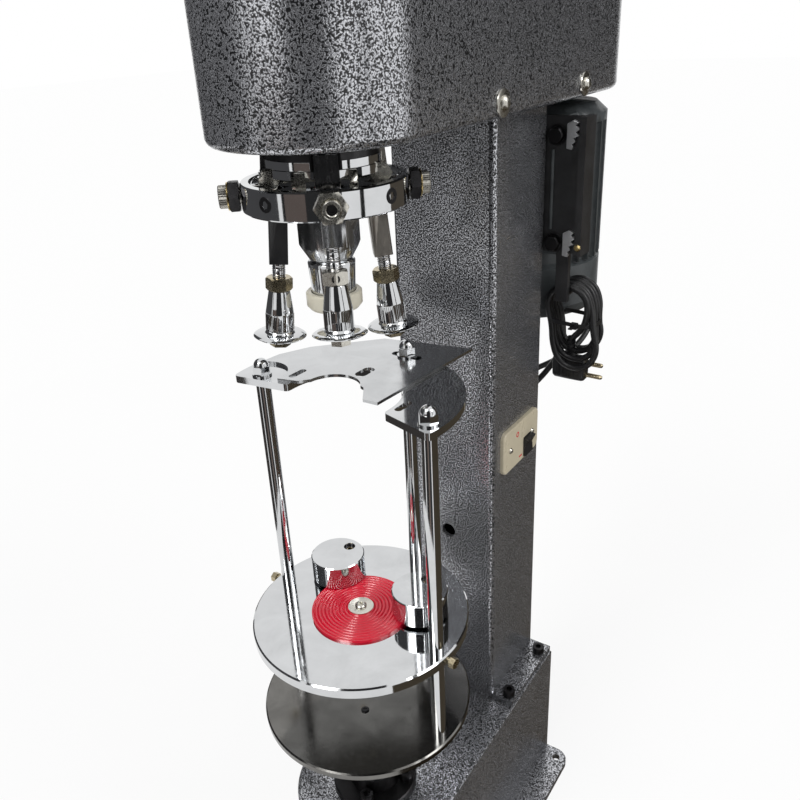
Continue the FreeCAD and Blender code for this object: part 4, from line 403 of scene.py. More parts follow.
def cross(width: float, angle: float) -> float:
    """Give the radius of a cross-shaped recess.

    Args:
        width: Width across the cross.
        angle: Direction.

    Returns:
        The radius there.
    """
    half_arm, waist = TAU / 30, 0.16
    folded = min(angle % (TAU / 4), TAU / 4 - angle % (TAU / 4))
    return width / 2 if folded < half_arm else width * waist


def knurled(radius: float, angle: float, knurls: int) -> float:
    """Radius of a knurled rim at an angle, lower at every other of its points."""
    return radius - 0.35 * (round(angle * knurls / TAU) % 2)


def superellipse(angle: float, power: float) -> tuple[float, float]:
    """Point of a rounded square of half width 1; a smaller power is squarer."""
    c, s = math.cos(angle), math.sin(angle)
    return math.copysign(abs(c) ** power, c), math.copysign(abs(s) ** power, s)


class Shaper:
    """Collects closed shapes, given in millimetres, into one mesh in metres."""

    def __init__(self) -> None:
        """Start an empty mesh."""
        self.bm = bmesh.new()

    def _ring(self, points: Iterable[Point], at: Matrix) -> list[bmesh.types.BMVert]:
        """Add the vertices of one closed ring."""
        return [self.bm.verts.new(at @ Vector(p)) for p in points]

    def _join(self, lower: list[bmesh.types.BMVert], upper: list[bmesh.types.BMVert]) -> None:
        """Bridge two rings, of which either may be a single pole.

        Args:
            lower: One ring.
            upper: The next ring.
        """
        count = max(len(lower), len(upper))
        for i in range(count):
            j = (i + 1) % count
            low_side = [lower[i % len(lower)], lower[j % len(lower)]]
            high_side = [upper[j % len(upper)], upper[i % len(upper)]]
            unique = list(dict.fromkeys(low_side + high_side))
            if len(unique) > 2:
                self.bm.faces.new(unique)

    def loft(self, rings: Sequence[Sequence[Point]], at: Matrix = Matrix(), closed: bool = False) -> "Shaper":
        """Join rings in order; a closed loft joins the last to the first, an open one is capped.

        Args:
            rings: Rings of as many points each, or of one point for a pole.
            at: Place of the shape.
            closed: Whether the last ring meets the first.

        Returns:
            This shaper.
        """
        made = [self._ring(ring, at) for ring in rings]
        for lower, upper in zip(made, made[1:]):
            self._join(lower, upper)
        if closed:
            self._join(made[-1], made[0])
        else:
            for end in (made[0], made[-1]):
                if len(end) > 2:
                    self.bm.faces.new(end)
        return self

    def lathe(self, profile: Sequence[tuple[float, float]], at: Matrix = Matrix(),
              steps: int = 64) -> "Shaper":
        """Turn a profile about Z. One that starts and ends off the axis is closed to a ring.

        Args:
            profile: Radius and height of each corner.
            at: Place of the shape.
            steps: Points to the turn.

        Returns:
            This shaper.
        """
        on_axis = 1e-6
        rings = [[(0.0, 0.0, height)] if radius < on_axis else circle(radius, height, steps)
                 for radius, height in profile]
        return self.loft(rings, at, closed=profile[0][0] > on_axis and profile[-1][0] > on_axis)

    def nut(self, flats: float, height: float, bore: float, steps: int = 48) -> "Shaper":
        """Hexagon nut standing on z = 0, with turned chamfers and a bore.

        Args:
            flats: Width across flats.
            height: Height of the nut.
            bore: Radius of the hole.
            steps: Points to the turn.

        Returns:
            This shaper.
        """
        flat, break_mm = flats / 2, 0.4
        face, chamfer = flat * 0.96, flat * 1.01
        slope = math.tan(math.radians(30))
        lower, upper = [], []
        for x, y, _ in circle(lambda angle: hexagon(flats, angle), 0.0, steps):
            drop = max(0.0, math.hypot(x, y) - chamfer) * slope
            lower.append((x, y, drop))
            upper.append((x, y, height - drop))
        low_hole = [circle(bore, break_mm, steps), circle(bore + break_mm, 0.0, steps)]
        high_hole = [circle(bore + break_mm, height, steps), circle(bore, height - break_mm, steps)]
        faces = [circle(face, 0.0, steps), lower, upper, circle(face, height, steps)]
        return self.loft(low_hole + faces + high_hole, closed=True)

    def screw_head(self, radius: float, height: float, key: float, drive: Drive, at: Matrix = Matrix(),
                   dome: float = 0.0, steps: int = 48) -> "Shaper":
        """Round head standing on z = 0, with a recess for its key.

        Args:
            radius: Radius of the head.
            height: Height of the head at its rim.
            key: Width across the recess.
            drive: Shape of the recess.
            at: Place of the head.
            dome: Extra height at the middle.
            steps: Points to the turn.

        Returns:
            This shaper.
        """
        outline = hexagon if drive is Drive.HEXAGON else cross
        top = height + dome
        rim = radius * (0.75 if dome else 0.93)
        shoulder = height * (0.35 if dome else 0.88)
        lip = max(key * 0.6, rim * 0.5)
        depth = height * 0.5
        turned = ((radius, 0), (radius, shoulder), (rim, height + dome * 0.3), (lip, top))
        head = [circle(reach, level, steps) for reach, level in turned]
        recess = [circle(lambda angle: outline(key, angle), level, steps) for level in (top, top - depth)]
        return self.loft([[(0.0, 0.0, 0.0)]] + head + recess + [[(0.0, 0.0, top - depth * 1.15)]], at)

    def slab(self, outline: Sequence[tuple[float, float]], low: float, high: float) -> "Shaper":
        """Plate of an outline, between two heights."""
        return self.loft([[(x, y, low) for x, y in outline], [(x, y, high) for x, y in outline]])

    def brick(self, low: Point, high: Point) -> "Shaper":
        """Block from corner to corner."""
        outline = ((low[0], low[1]), (high[0], low[1]), (high[0], high[1]), (low[0], high[1]))
        return self.slab(outline, low[2], high[2])

    def mesh(self, name: str) -> bpy.types.Mesh:
        """Close the work: faces outwards, in metres.

        Args:
            name: Name of the mesh.

        Returns:
            The mesh.
        """
        bmesh.ops.remove_doubles(self.bm, verts=self.bm.verts, dist=1e-4)
        bmesh.ops.recalc_face_normals(self.bm, faces=self.bm.faces)
        bmesh.ops.scale(self.bm, vec=(MM, MM, MM), verts=self.bm.verts)
        mesh = bpy.data.meshes.new(name)
        self.bm.to_mesh(mesh)
        self.bm.free()
        return mesh


def aimed(way: Sequence[float], x: float, y: float, z: float) -> Matrix:
    """Place of a shape drawn along +Z: turned to a direction, then moved."""
    turn = Vector((0, 0, 1)).rotation_difference(Vector(way)).to_matrix().to_4x4()
    return Matrix.Translation((x, y, z)) @ turn


def polar(radius: float, degrees: float, height: float = 0.0) -> Point:
    """Point on a circle about the spindle."""
    return (radius * math.cos(math.radians(degrees)), radius * math.sin(math.radians(degrees)), height)


def smooth(mesh: bpy.types.Mesh, degrees: float = 32.0) -> None:
    """Shade a mesh smooth, but sharp past an angle.

    Args:
        mesh: The mesh.
        degrees: The angle.
    """
    mesh.polygons.foreach_set("use_smooth", [True] * len(mesh.polygons))
    mesh.set_sharp_from_angle(angle=math.radians(degrees))
    mesh.update()


def show(obj: bpy.types.Object, body: str, finish: str,
         replaces: Sequence[str] = ()) -> bpy.types.Object:
    """Dress a finished piece and tie it to its body.

    Args:
        obj: The piece, at the origin.
        body: The CAD body that it rides on.
        finish: Name of its material.
        replaces: CAD nodes that it stands for.

    Returns:
        The piece.
    """
    if obj.name not in bpy.context.scene.collection.objects:
        bpy.context.scene.collection.objects.link(obj)
    obj.data.materials.clear()
    obj.data.materials.append(MATERIALS[finish])
    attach(obj, body)
    if replaces:
        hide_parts(*replaces)
    LOG.info("%s rides on %s", obj.name, body)
    return obj


def piece(name: str, shaper: Shaper, body: str, finish: str, replaces: Sequence[str] = (),
          bevel_mm: float = 0.0) -> bpy.types.Object:
    """Make one piece from shaped work.

    Args:
        name: Name of the piece.
        shaper: The work.
        body: The CAD body that it rides on.
        finish: Name of its material.
        replaces: CAD nodes that it stands for.
        bevel_mm: Width of its broken edges, or 0 for sharp ones.

    Returns:
        The piece.
    """
    mesh = shaper.mesh(name)
    smooth(mesh)
    obj = bpy.data.objects.new(name, mesh)
    if bevel_mm:
        bevel(obj, bevel_mm)
    return show(obj, body, finish, replaces)


def bevel(obj: bpy.types.Object, width_mm: float) -> None:
    """Break a piece's sharp edges.

    Args:
        obj: The piece.
        width_mm: Width of the broken edge.
    """
    edge = obj.modifiers.new("edges", "BEVEL")
    edge.width = width_mm * MM
    edge.segments = 2
    edge.limit_method = "ANGLE"
    edge.angle_limit = math.radians(35)
    edge.harden_normals = True


BODIES = {node: body for body, nodes in frame["record"]["behaviour"]["bodies"].items() for node in nodes}


def dressed(node: str, finish: str) -> bpy.types.Object:
    """Stand for a CAD node with a merged, smoothly shaded copy of its solid.

    Args:
        node: The CAD node.
        finish: Name of the copy's material.

    Returns:
        The piece.
    """
    mesh = frame["nodes"][node].data.copy()
    work = bmesh.new()
    work.from_mesh(mesh)
    bmesh.ops.remove_doubles(work, verts=work.verts, dist=2e-6)
    bmesh.ops.dissolve_limit(work, angle_limit=math.radians(0.5), verts=work.verts, edges=work.edges)
    work.to_mesh(mesh)
    work.free()
    smooth(mesh, 30.0)
    return show(bpy.data.objects.new(node + "_skin", mesh), BODIES[node], finish, [node])


# Geometry Nodes


class TreeKit:
    """Short way to write a Geometry Nodes tree that makes geometry from its inputs."""

    def __init__(self, name: str, inputs: Sequence[tuple[str, str, object]]) -> None:
        """Make the tree with its sockets.

        Args:
            name: The tree's name.
            inputs: Name, socket kind and default of each input.
        """
        self.tree = bpy.data.node_groups.new(name, "GeometryNodeTree")
        self.tree.interface.new_socket("Geometry", in_out="INPUT", socket_type="NodeSocketGeometry")
        for label, kind, default in inputs:
            socket = self.tree.interface.new_socket(label, in_out="INPUT", socket_type=kind)
            if default is not None:
                socket.default_value = default
        self.tree.interface.new_socket("Geometry", in_out="OUTPUT", socket_type="NodeSocketGeometry")
        self.start = self.tree.nodes.new("NodeGroupInput")
        self.end = self.tree.nodes.new("NodeGroupOutput")

    def add(self, kind: str, **inputs: object) -> bpy.types.Node:
        """Add a node.

        Args:
            kind: Its type.
            **inputs: Values or sockets for its inputs, by name (an underscore stands for a space).

        Returns:
            The node.
        """
        node = self.tree.nodes.new(kind)
        for label, value in inputs.items():
            self.join(value, node.inputs[label.replace("_", " ")])
        return node

    def join(self, value: object, socket: bpy.types.NodeSocket) -> None:
        """Link a socket to an input, or set the input's own value.

        Args:
            value: The socket or the value.
            socket: The input.
        """
        if isinstance(value, bpy.types.NodeSocket):
            self.tree.links.new(value, socket)
        else:
            socket.default_value = value

    def math(self, kind: str, *values: object) -> bpy.types.NodeSocket:
        """Work out a number.

        Args:
            kind: The operation.
            *values: Numbers or sockets.

        Returns:
            The result's socket.
        """
        node = self.tree.nodes.new("ShaderNodeMath")
        node.operation = kind
        for index, value in enumerate(values):
            self.join(value, node.inputs[index])
        return node.outputs[0]

    def given(self, label: str) -> bpy.types.NodeSocket:
        """Give one of the tree's inputs."""
        return self.start.outputs[label]

    def close(self, geometry: bpy.types.NodeSocket) -> bpy.types.NodeTree:
        """End the tree in Realize Instances and Set Material.

        Args:
            geometry: What the tree has made.

        Returns:
            The tree.
        """
        real = self.add("GeometryNodeRealizeInstances", Geometry=geometry)
        dress = self.add("GeometryNodeSetMaterial", Geometry=real.outputs[0], Material=self.given("Finish"))
        self.tree.links.new(dress.outputs[0], self.end.inputs[0])
        return self.tree


def seat_tree() -> bpy.types.NodeTree:
    """Make a tree that sets one piece on each seat point, turned to its aim and spun about it.

    Returns:
        The tree.
    """
    kit = TreeKit("seats", (("Piece", "NodeSocketObject", None), ("Finish", "NodeSocketMaterial", None)))
    aim = kit.add("GeometryNodeInputNamedAttribute", Name="aim")
    aim.data_type = "FLOAT_VECTOR"
    spin = kit.add("GeometryNodeInputNamedAttribute", Name="spin")
    spin.data_type = "FLOAT"
    about = kit.add("FunctionNodeAxisAngleToRotation", Axis=Way.UP.value, Angle=spin.outputs[0])
    turn = kit.add("FunctionNodeAlignRotationToVector", Rotation=about.outputs[0], Vector=aim.outputs[0])
    turn.axis = "Z"
    item = kit.add("GeometryNodeObjectInfo", Object=kit.given("Piece"))
    placed = kit.add("GeometryNodeInstanceOnPoints", Points=kit.given("Geometry"),
                     Instance=item.outputs["Geometry"], Rotation=turn.outputs[0])
    return kit.close(placed.outputs[0])


def round_tree() -> bpy.types.NodeTree:
    """Make a tree that repeats one piece evenly about Z.

    Returns:
        The tree.
    """
    kit = TreeKit("round", (("Piece", "NodeSocketObject", None), ("Count", "NodeSocketInt", 8),
                            ("Finish", "NodeSocketMaterial", None)))
    points = kit.add("GeometryNodePoints", Count=kit.given("Count"))
    index = kit.add("GeometryNodeInputIndex")
    angle = kit.math("MULTIPLY", index.outputs[0], kit.math("DIVIDE", TAU, kit.given("Count")))
    turn = kit.add("FunctionNodeAxisAngleToRotation", Axis=Way.UP.value, Angle=angle)
    item = kit.add("GeometryNodeObjectInfo", Object=kit.given("Piece"))
    placed = kit.add("GeometryNodeInstanceOnPoints", Points=points.outputs[0],
                     Instance=item.outputs["Geometry"], Rotation=turn.outputs[0])
    return kit.close(placed.outputs[0])


def thread_tree() -> bpy.types.NodeTree:
    """Make a tree that winds a thread's ridge about Z.

    Returns:
        The tree.
    """
    kit = TreeKit("thread", (("Radius", "NodeSocketFloat", 0.004), ("Pitch", "NodeSocketFloat", 0.001),
                             ("Length", "NodeSocketFloat", 0.01), ("Ridge", "NodeSocketFloat", 0.0005),
                             ("Finish", "NodeSocketMaterial", None)))
    turns = kit.math("DIVIDE", kit.given("Length"), kit.given("Pitch"))
    spiral = kit.add("GeometryNodeCurveSpiral", Resolution=28, Rotations=turns, Height=kit.given("Length"))
    kit.join(kit.given("Radius"), spiral.inputs["Start Radius"])
    kit.join(kit.given("Radius"), spiral.inputs["End Radius"])
    section = kit.add("GeometryNodeCurvePrimitiveCircle", Resolution=4, Radius=kit.given("Ridge"))
    swept = kit.add("GeometryNodeCurveToMesh", Curve=spiral.outputs[0])
    kit.join(section.outputs[0], swept.inputs["Profile Curve"])
    kit.join(True, swept.inputs["Fill Caps"])
    return kit.close(swept.outputs[0])


def mat_tree() -> bpy.types.NodeTree:
    """Make a tree of a round mat with concentric ribs, laid out as a polar grid.

    Returns:
        The tree.
    """
    sizes = (("Radius", 0.04), ("Bore", 0.01), ("Rib Pitch", 0.004), ("Rib Depth", 0.001), ("Border", 0.0012),
             ("Thickness", 0.002))
    inputs = [(label, "NodeSocketFloat", default) for label, default in sizes]
    kit = TreeKit("ribbed_mat", inputs + [("Finish", "NodeSocketMaterial", None)])
    grid = kit.add("GeometryNodeMeshGrid", Size_X=1.0, Size_Y=1.0, Vertices_X=170, Vertices_Y=145)
    place = kit.add("ShaderNodeSeparateXYZ", Vector=kit.add("GeometryNodeInputPosition").outputs[0])
    along = kit.math("ADD", place.outputs[0], 0.5)
    angle = kit.math("MULTIPLY", kit.math("ADD", place.outputs[1], 0.5), TAU)
    band = kit.math("SUBTRACT", kit.given("Radius"), kit.given("Bore"))
    run = kit.math("MULTIPLY", along, kit.math("ADD", band, kit.given("Thickness")))
    reach = kit.math("MINIMUM", run, band)
    radius = kit.math("ADD", reach, kit.given("Bore"))
    half_rib = kit.math("MULTIPLY", kit.given("Rib Pitch"), 0.5)
    share = kit.math("DIVIDE", kit.math("PINGPONG", radius, half_rib), half_rib)
    groove = kit.math("POWER", kit.math("SUBTRACT", 1.0, share), 3.0)
    cut = kit.math("MULTIPLY", groove, kit.given("Rib Depth"))
    inside = kit.math("LESS_THAN", radius, kit.math("SUBTRACT", kit.given("Radius"), kit.given("Border")))
    fall = kit.math("ADD", kit.math("MULTIPLY", cut, inside), kit.math("SUBTRACT", run, reach))
    height = kit.math("SUBTRACT", kit.given("Thickness"), fall)
    spot = kit.add("ShaderNodeCombineXYZ", X=kit.math("MULTIPLY", radius, kit.math("COSINE", angle)),
                   Y=kit.math("MULTIPLY", radius, kit.math("SINE", angle)), Z=height)
    moved = kit.add("GeometryNodeSetPosition", Geometry=grid.outputs[0], Position=spot.outputs[0])
    merged = kit.add("GeometryNodeMergeByDistance", Geometry=moved.outputs[0], Distance=1e-6)
    return kit.close(merged.outputs[0])


TREES = {"seats": seat_tree(), "round": round_tree(), "thread": thread_tree(), "mat": mat_tree()}


def grown(name: str, tree: str, base: Optional[bpy.types.Mesh] = None, at: Matrix = Matrix(),
          **values: object) -> bpy.types.Mesh:
    """Run a tree once and give its result as a plain mesh.

    Args:
        name: Name of the mesh.
        tree: Which tree.
        base: Geometry that the tree starts from.
        at: Place of the result, in metres.
        **values: The tree's named inputs.

    Returns:
        The mesh.
    """
    obj = bpy.data.objects.new(name + "_work", base or bpy.data.meshes.new(name))
    bpy.context.scene.collection.objects.link(obj)
    modifier = obj.modifiers.new("tree", "NODES")
    modifier.node_group = TREES[tree]
    sockets = {s.name: s.identifier for s in TREES[tree].interface.items_tree if s.in_out == "INPUT"}
    for label, value in values.items():
        modifier[sockets[label.replace("_", " ")]] = value
    graph = bpy.context.evaluated_depsgraph_get()
    mesh = bpy.data.meshes.new_from_object(obj.evaluated_get(graph), depsgraph=graph)
    mesh.name = name
    mesh.transform(at)
    bpy.data.objects.remove(obj)
    return mesh


def template(name: str, shaper: Shaper) -> bpy.types.Object:
    """Make a piece that a tree repeats.

    Args:
        name: Its name.
        shaper: Its shape.

    Returns:
        The piece, in no collection.
    """
    mesh = shaper.mesh(name)
    smooth(mesh)
    return bpy.data.objects.new(name, mesh)


def headed(name: str, radius: float, height: float, key: float, drive: Drive,
           dome: float = 0.0) -> bpy.types.Object:
    """Make a screw's head that a tree repeats; sizes are as for Shaper.screw_head."""
    return template(name, Shaper().screw_head(radius, height, key, drive, dome=dome))


@dataclass(frozen=True)
class Seat:
    """Where a fastener sits, in millimetres, and which way its head points."""

    spot: Point
    aim: Sequence[float]
    spin: float = 0.0


def seated(name: str, seats: Sequence[Seat], item: bpy.types.Object, body: str, finish: str,
           replaces: Sequence[str] = ()) -> bpy.types.Object:
    """Set copies of one item on their seats, as one piece.

    Args:
        name: Name of the piece.
        seats: Where the copies go.
        item: The template.
        body: The CAD body that the piece rides on.
        finish: Name of the material.
        replaces: CAD nodes that it stands for.

    Returns:
        The piece.
    """
    base = bpy.data.meshes.new(name + "_seats")
    base.from_pydata([tuple(c * MM for c in seat.spot) for seat in seats], [], [])
    aims = base.attributes.new("aim", "FLOAT_VECTOR", "POINT")
    aims.data.foreach_set("vector", [number for seat in seats for number in seat.aim])
    spins = base.attributes.new("spin", "FLOAT", "POINT")
    spins.data.foreach_set("value", [seat.spin for seat in seats])
    mesh = grown(name, "seats", base, Piece=item, Finish=MATERIALS[finish])
    obj = bpy.data.objects.new(name, mesh)
    return show(obj, body, finish, replaces)


def joined(name: str, *meshes: bpy.types.Mesh) -> bpy.types.Object:
    """Put several meshes into one object.

    Args:
        name: Name of the object.
        *meshes: The meshes.

    Returns:
        The object.
    """
    work = bmesh.new()
    for mesh in meshes:
        work.from_mesh(mesh)
    whole = bpy.data.meshes.new(name)
    work.to_mesh(whole)
    work.free()
    smooth(whole)
    return bpy.data.objects.new(name, whole)


# Sub-assemblies


@dataclass
class FrameWork:
    """Foot plate, base box, column, head plate and hood, with their screws."""

    column_bolts: Sequence[tuple[float, float]] = ((-66, 158), (-66, 233), (66, 158), (66, 233))
    column_bolt_z: float = 168.0
    bush_bolt_circle: float = 31.0
    bush_bolt_angle: float = -69.0
    bush_bolt_z: float = 171.0
    hood_radius: float = 74.5
    hood_screw_y: Sequence[float] = (114, 267)
    hood_screw_z: float = 775.0
    hood_washer_top: float = 1.5

    def build(self) -> None:
        """Make and dress every piece."""
        for node in ("foot_plate", "base_box", "column", "hood"):
            dressed(node, "hammertone")
        dressed("head_plate", "black_enamel")
        dressed("bearing_housing", "machined_iron")
        dressed("spindle_bearings", "chrome_turned")
        dressed("drive_belt", "belt_rubber")
        dressed("lift_bush", "black_oxide")
        self._screws()
        self._hood_screws()

    def _screws(self) -> None:
        """Set the socket screws of the column's foot and of the lift bush."""
        head = headed("socket_head", radius=6.5, height=8.0, key=6.0, drive=Drive.HEXAGON)
        seats = [Seat((x, y, self.column_bolt_z), Way.UP.value, spin=0.4 * i)
                 for i, (x, y) in enumerate(self.column_bolts)]
        for i in range(4):
            spot = polar(self.bush_bolt_circle, self.bush_bolt_angle + 90 * i, self.bush_bolt_z)
            seats.append(Seat(spot, Way.UP.value, spin=0.7 * i))
        seated("socket_heads", seats, head, "frame", "black_oxide", ["socket_screws"])

    def _hood_screws(self) -> None:
        """Set cross-head screws with wide washers in the hood's sides."""
        top = self.hood_washer_top
        head = Shaper().lathe(((3.2, 0), (9.7, 0), (10, 0.4), (9.8, 1.3), (9.2, top), (3.2, top)))
        head.screw_head(radius=5.6, height=2.6, key=4.6, drive=Drive.CROSS,
                        at=Matrix.Translation((0, 0, top)), dome=1.0)
        item = template("hood_screw", head)
        seats = [Seat((side * self.hood_radius, y, self.hood_screw_z), (side, 0, 0), spin=0.5 + 0.9 * i)
                 for i, y in enumerate(self.hood_screw_y) for side in (-1, 1)]
        seated("hood_fasteners", seats, item, "frame", "zinc_plate", ["hood_screws"])


@dataclass
class MotorDrive:
    """Motor on its bracket behind the column, and both pulleys."""

    bolt_x: float = 59.25
    bolt_z: Sequence[float] = (641, 735)
    bracket_face: float = 250.0
    clip_outline: Sequence[tuple[float, float]] = (
        (69.0, -10.5), (74.0, -11.5), (75.4, -8.5), (73.8, -7.0), (77.0, -4.5), (75.2, -1.5), (80.0, 0.5),
        (77.0, 3.0), (80.6, 6.0), (76.8, 8.5), (79.2, 11.0), (74.6, 13.0), (69.0, 10.0),
    )
    clip_back: float = 250.2
    clip_front: float = 245.8
    seam_outline: Sequence[tuple[float, float]] = (
        (54.2, 249.0), (55.6, 248.2), (57.0, 249.0), (57.0, 250.2), (54.2, 250.2),
    )
    seam_low: float = 653.0
    seam_high: float = 723.0
    lid_side: float = 30.8
    lid_y: float = 424.0
    lid_screw_z: Sequence[float] = (656, 720)
    lip_screw: Point = (85.0, 242.2, 640.0)

    def build(self) -> None:
        """Make and dress every piece."""
        dressed("motor_bracket", "black_enamel")
        dressed("motor_body", "grey_enamel")
        dressed("motor_fan_cover", "grey_enamel")
        dressed("terminal_box", "black_plastic")
        dressed("motor_shaft", "chrome_turned")
        dressed("motor_pulley", "cast_aluminium")
        dressed("spindle_pulley", "cast_aluminium")
        dressed("hex_bolts", "black_oxide")
        self._washers()
        self._clips()
        self._strip()
        self._lid_screws()

    def _washers(self) -> None:
        """Set washers under the motor's bolts."""
        profile = ((4.2, 0), (8.6, 0), (8.9, 0.3), (8.9, 1.1), (8.6, 1.4), (4.2, 1.4))
        seats = [Seat((side * self.bolt_x, self.bracket_face, z), Way.FRONT.value) for side in (-1, 1)
                 for z in self.bolt_z]
        washer = template("bolt_washer", Shaper().lathe(profile))
        seated("bolt_washers", seats, washer, "frame", "black_oxide")

    def _clips(self) -> None:
        """Set toothed locking plates beside the bolts."""
        clips = Shaper()
        for side in (-1, 1):
            for z in self.bolt_z:
                clips.loft([[(side * x, y, z + up) for x, up in self.clip_outline]
                            for y in (self.clip_back, self.clip_front)])
        piece("lock_clips", clips, "frame", "cast_aluminium", bevel_mm=0.5)

    def _strip(self) -> None:
        """Fold seams down both edges of the bracket's face, in grey enamel lighter than the bracket's black
        so that they show as painted highlight lines.
        """
        strips = Shaper()
        for side in (-1, 1):
            strips.slab([(side * x, y) for x, y in self.seam_outline], self.seam_low, self.seam_high)
        # the lighter grey enamel is a painted highlight, standing in for light catching the bracket's folded
        # edges
        piece("bracket_seams", strips, "frame", "grey_enamel", bevel_mm=0.3)

    def _lid_screws(self) -> None:
        """Set screws in the sides of the terminal box's lid, and one on the bracket's lip."""
        head = headed("lid_screw", radius=3.1, height=1.4, key=3.0, drive=Drive.CROSS, dome=0.8)
        seats = [Seat((side * self.lid_side, self.lid_y, z), (side, 0.0, 0.0), spin=0.4 * z)
                 for side in (-1, 1) for z in self.lid_screw_z]
        seats.append(Seat(self.lip_screw, Way.FRONT.value, spin=0.5))
        seated("lid_screws", seats, head, "frame", "yellow_brass")


@dataclass
class CappingHead:
    """Turning head: carrier, adjusting ring, arms, rollers and chuck."""

    turn: float = 41.5
    pivot_radius: float = 36.0
    pivot_z: float = 742.7
    lean: float = 5.15
    stem_offset: float = 4.8
    arm_lengths: tuple[float, float] = (58.7, 41.5)
    stem_lengths: tuple[float, float] = (10.3, 15.7)
    nut_height: float = 9.0
    stem_radius: float = 4.3
    stem_core: float = 4.08
    thread_pitch: float = 1.25
    thread_ridge: float = 0.42
    stud_reach: float = 8.1
    roller_length: float = 34.5
    roller_gap: float = 0.3
    flutes: int = 44
    ring_radius: float = 56.4
    ring_screw_depth: float = 3.2
    adjuster_z: float = 731.0
    adjuster_root: float = 40.0
    adjuster_nut: float = 7.0
    socket_reach: float = 66.45
    knurls: int = 60
    flange_low: float = 749.4
    band_radii: tuple[float, float] = (38.5, 39.7)
    band_height: float = 5.6
    band_start: float = 14.5
    band_sweep: float = 61.0
    spring_top: float = 679.1
    spring_length: float = 27.1
    pad_travel: float = 6.0
    arm_finishes: tuple[str, ...] = ("bare_steel", "blued_steel", "black_enamel", "blued_steel")

    def build(self) -> None:
        """Make and dress every piece."""
        dressed("head_flange", "black_oxide")
        dressed("arm_carrier", "chrome_plate")
        dressed("adjusting_ring", "chrome_plate")
        dressed("arm_pivots", "zinc_plate")
        dressed("spindle_shaft", "chrome_turned")
        dressed("chuck_body", "brushed_guide")
        dressed("chuck_sleeve", "chrome_plate")
        spring = dressed("chuck_spring", "chrome_turned")
        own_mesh(spring)
        dressed("chuck_pad", "pale_ivory")
        for index in range(4):
            dressed("arm_%d" % (index + 1), self.arm_finishes[index])
            dressed("stem_nuts_%d" % (index + 1), "zinc_plate" if index == 3 else "nickel_brass")
            self._stem(index)
            self._roller(index)
        self._flange_bands()
        self._adjusters()
        self._stem_stud()
        self._ring_screws()

    def angle(self, index: int) -> float:
        """Direction of an arm, in degrees."""
        return self.turn + 90.0 * index

    def _arm_place(self, index: int) -> Matrix:
        """Give the place of a shape drawn about an arm's stem, with its pivot's height at zero.

        Args:
            index: Which arm, from 0.

        Returns:
            The place, in millimetres.
        """
        about = Matrix.Rotation(math.radians(self.angle(index)), 4, "Z")
        out = Matrix.Translation((self.pivot_radius, 0, self.pivot_z))
        lean = Matrix.Rotation(math.radians(self.lean), 4, Vector((0, -1, 0)))
        return about @ out @ lean @ Matrix.Translation((-self.stem_offset, 0, 0))

    @staticmethod
    def _metres(place: Matrix) -> Matrix:
        """Give the same place for a mesh in metres.

        Args:
            place: A place in millimetres.

        Returns:
            The place in metres.
        """
        moved = place.copy()
        moved.translation = place.translation * MM
        return moved

    def _stem(self, index: int) -> None:
        """Make a plated stem with its thread, between an arm's bar and the lock nut.

        Args:
            index: Which arm, from 0.
        """
        top = -self.arm_lengths[index % 2] + 0.1
        length = self.stem_lengths[index % 2] + 0.2
        low = top - length
        name = "stem_thread_%d" % (index + 1)
        place = self._arm_place(index)
        core, outer = self.stem_core, self.stem_radius
        rod = Shaper().lathe(((core, low), (outer, low), (outer, top), (core, top)), place, 32)
        ridge = grown(name + "_ridge", "thread", at=self._metres(place @ Matrix.Translation((0, 0, low))),
                      Radius=outer * MM, Pitch=self.thread_pitch * MM, Length=length * MM,
                      Ridge=self.thread_ridge * MM, Finish=MATERIALS["chrome_turned"])
        stem = joined(name, rod.mesh(name + "_core"), ridge)
        show(stem, "arm_%d_body" % (index + 1), "chrome_turned")

    def _roller(self, index: int) -> None:
        """Make a roller with a fluted barrel and a thin pressing disc.

        Args:
            index: Which arm it hangs on, from 0.
        """
        stem_end = -self.arm_lengths[index % 2] - self.stem_lengths[index % 2] - self.nut_height
        top = stem_end - self.roller_gap
        low = top - self.roller_length
        node = "roller_%d" % (index + 1)
        place = self._arm_place(index)
        barrel = Shaper().lathe((
            (4.3, low), (15.5, low), (17.6, low), (19.0, low + 1.0), (18.9, low + 1.3), (17.2, low + 2.4),
            (13.5, low + 2.7), (10.8, low + 3.1), (10.1, low + 4.4), (9.75, low + 4.8), (9.75, low + 17.4),
            (10.0, top - 16.6), (10.0, top - 16.0), (7.6, top - 1.0), (7.3, top - 0.3), (6.8, top),
            (4.3, top),
        ), place, 96)
        flute = template(node + "_flute", Shaper().loft((
            [(9.5, -0.34, low + 4.6), (9.5, 0.34, low + 4.6), (10.15, 0.0, low + 4.9)],
            [(9.5, -0.34, low + 17.6), (9.5, 0.34, low + 17.6), (10.15, 0.0, low + 17.2)],
        )))
        flutes = grown(node + "_flutes", "round", at=self._metres(place), Piece=flute, Count=self.flutes,
                       Finish=MATERIALS["chrome_plate"])
        roller = joined(node + "_barrel", barrel.mesh(node + "_turned"), flutes)
        show(roller, "roller_%d_body" % (index + 1), "chrome_plate", [node])

    def _flange_bands(self) -> None:
        """Lay a plated band round the flange's lower part, between the arms."""
        bands = Shaper()
        inner, outer = self.band_radii
        steps = 20
        for index in range(4):
            turns = [math.radians(self.angle(index) + self.band_start + self.band_sweep * i / steps)
                     for i in range(steps + 1)]
            outline = [(outer * math.cos(a), outer * math.sin(a)) for a in turns]
            outline += [(inner * math.cos(a), inner * math.sin(a)) for a in reversed(turns)]
            bands.slab(outline, self.flange_low, self.flange_low + self.band_height)
        piece("flange_bands", bands, "spindle", "chrome_plate", bevel_mm=0.3)

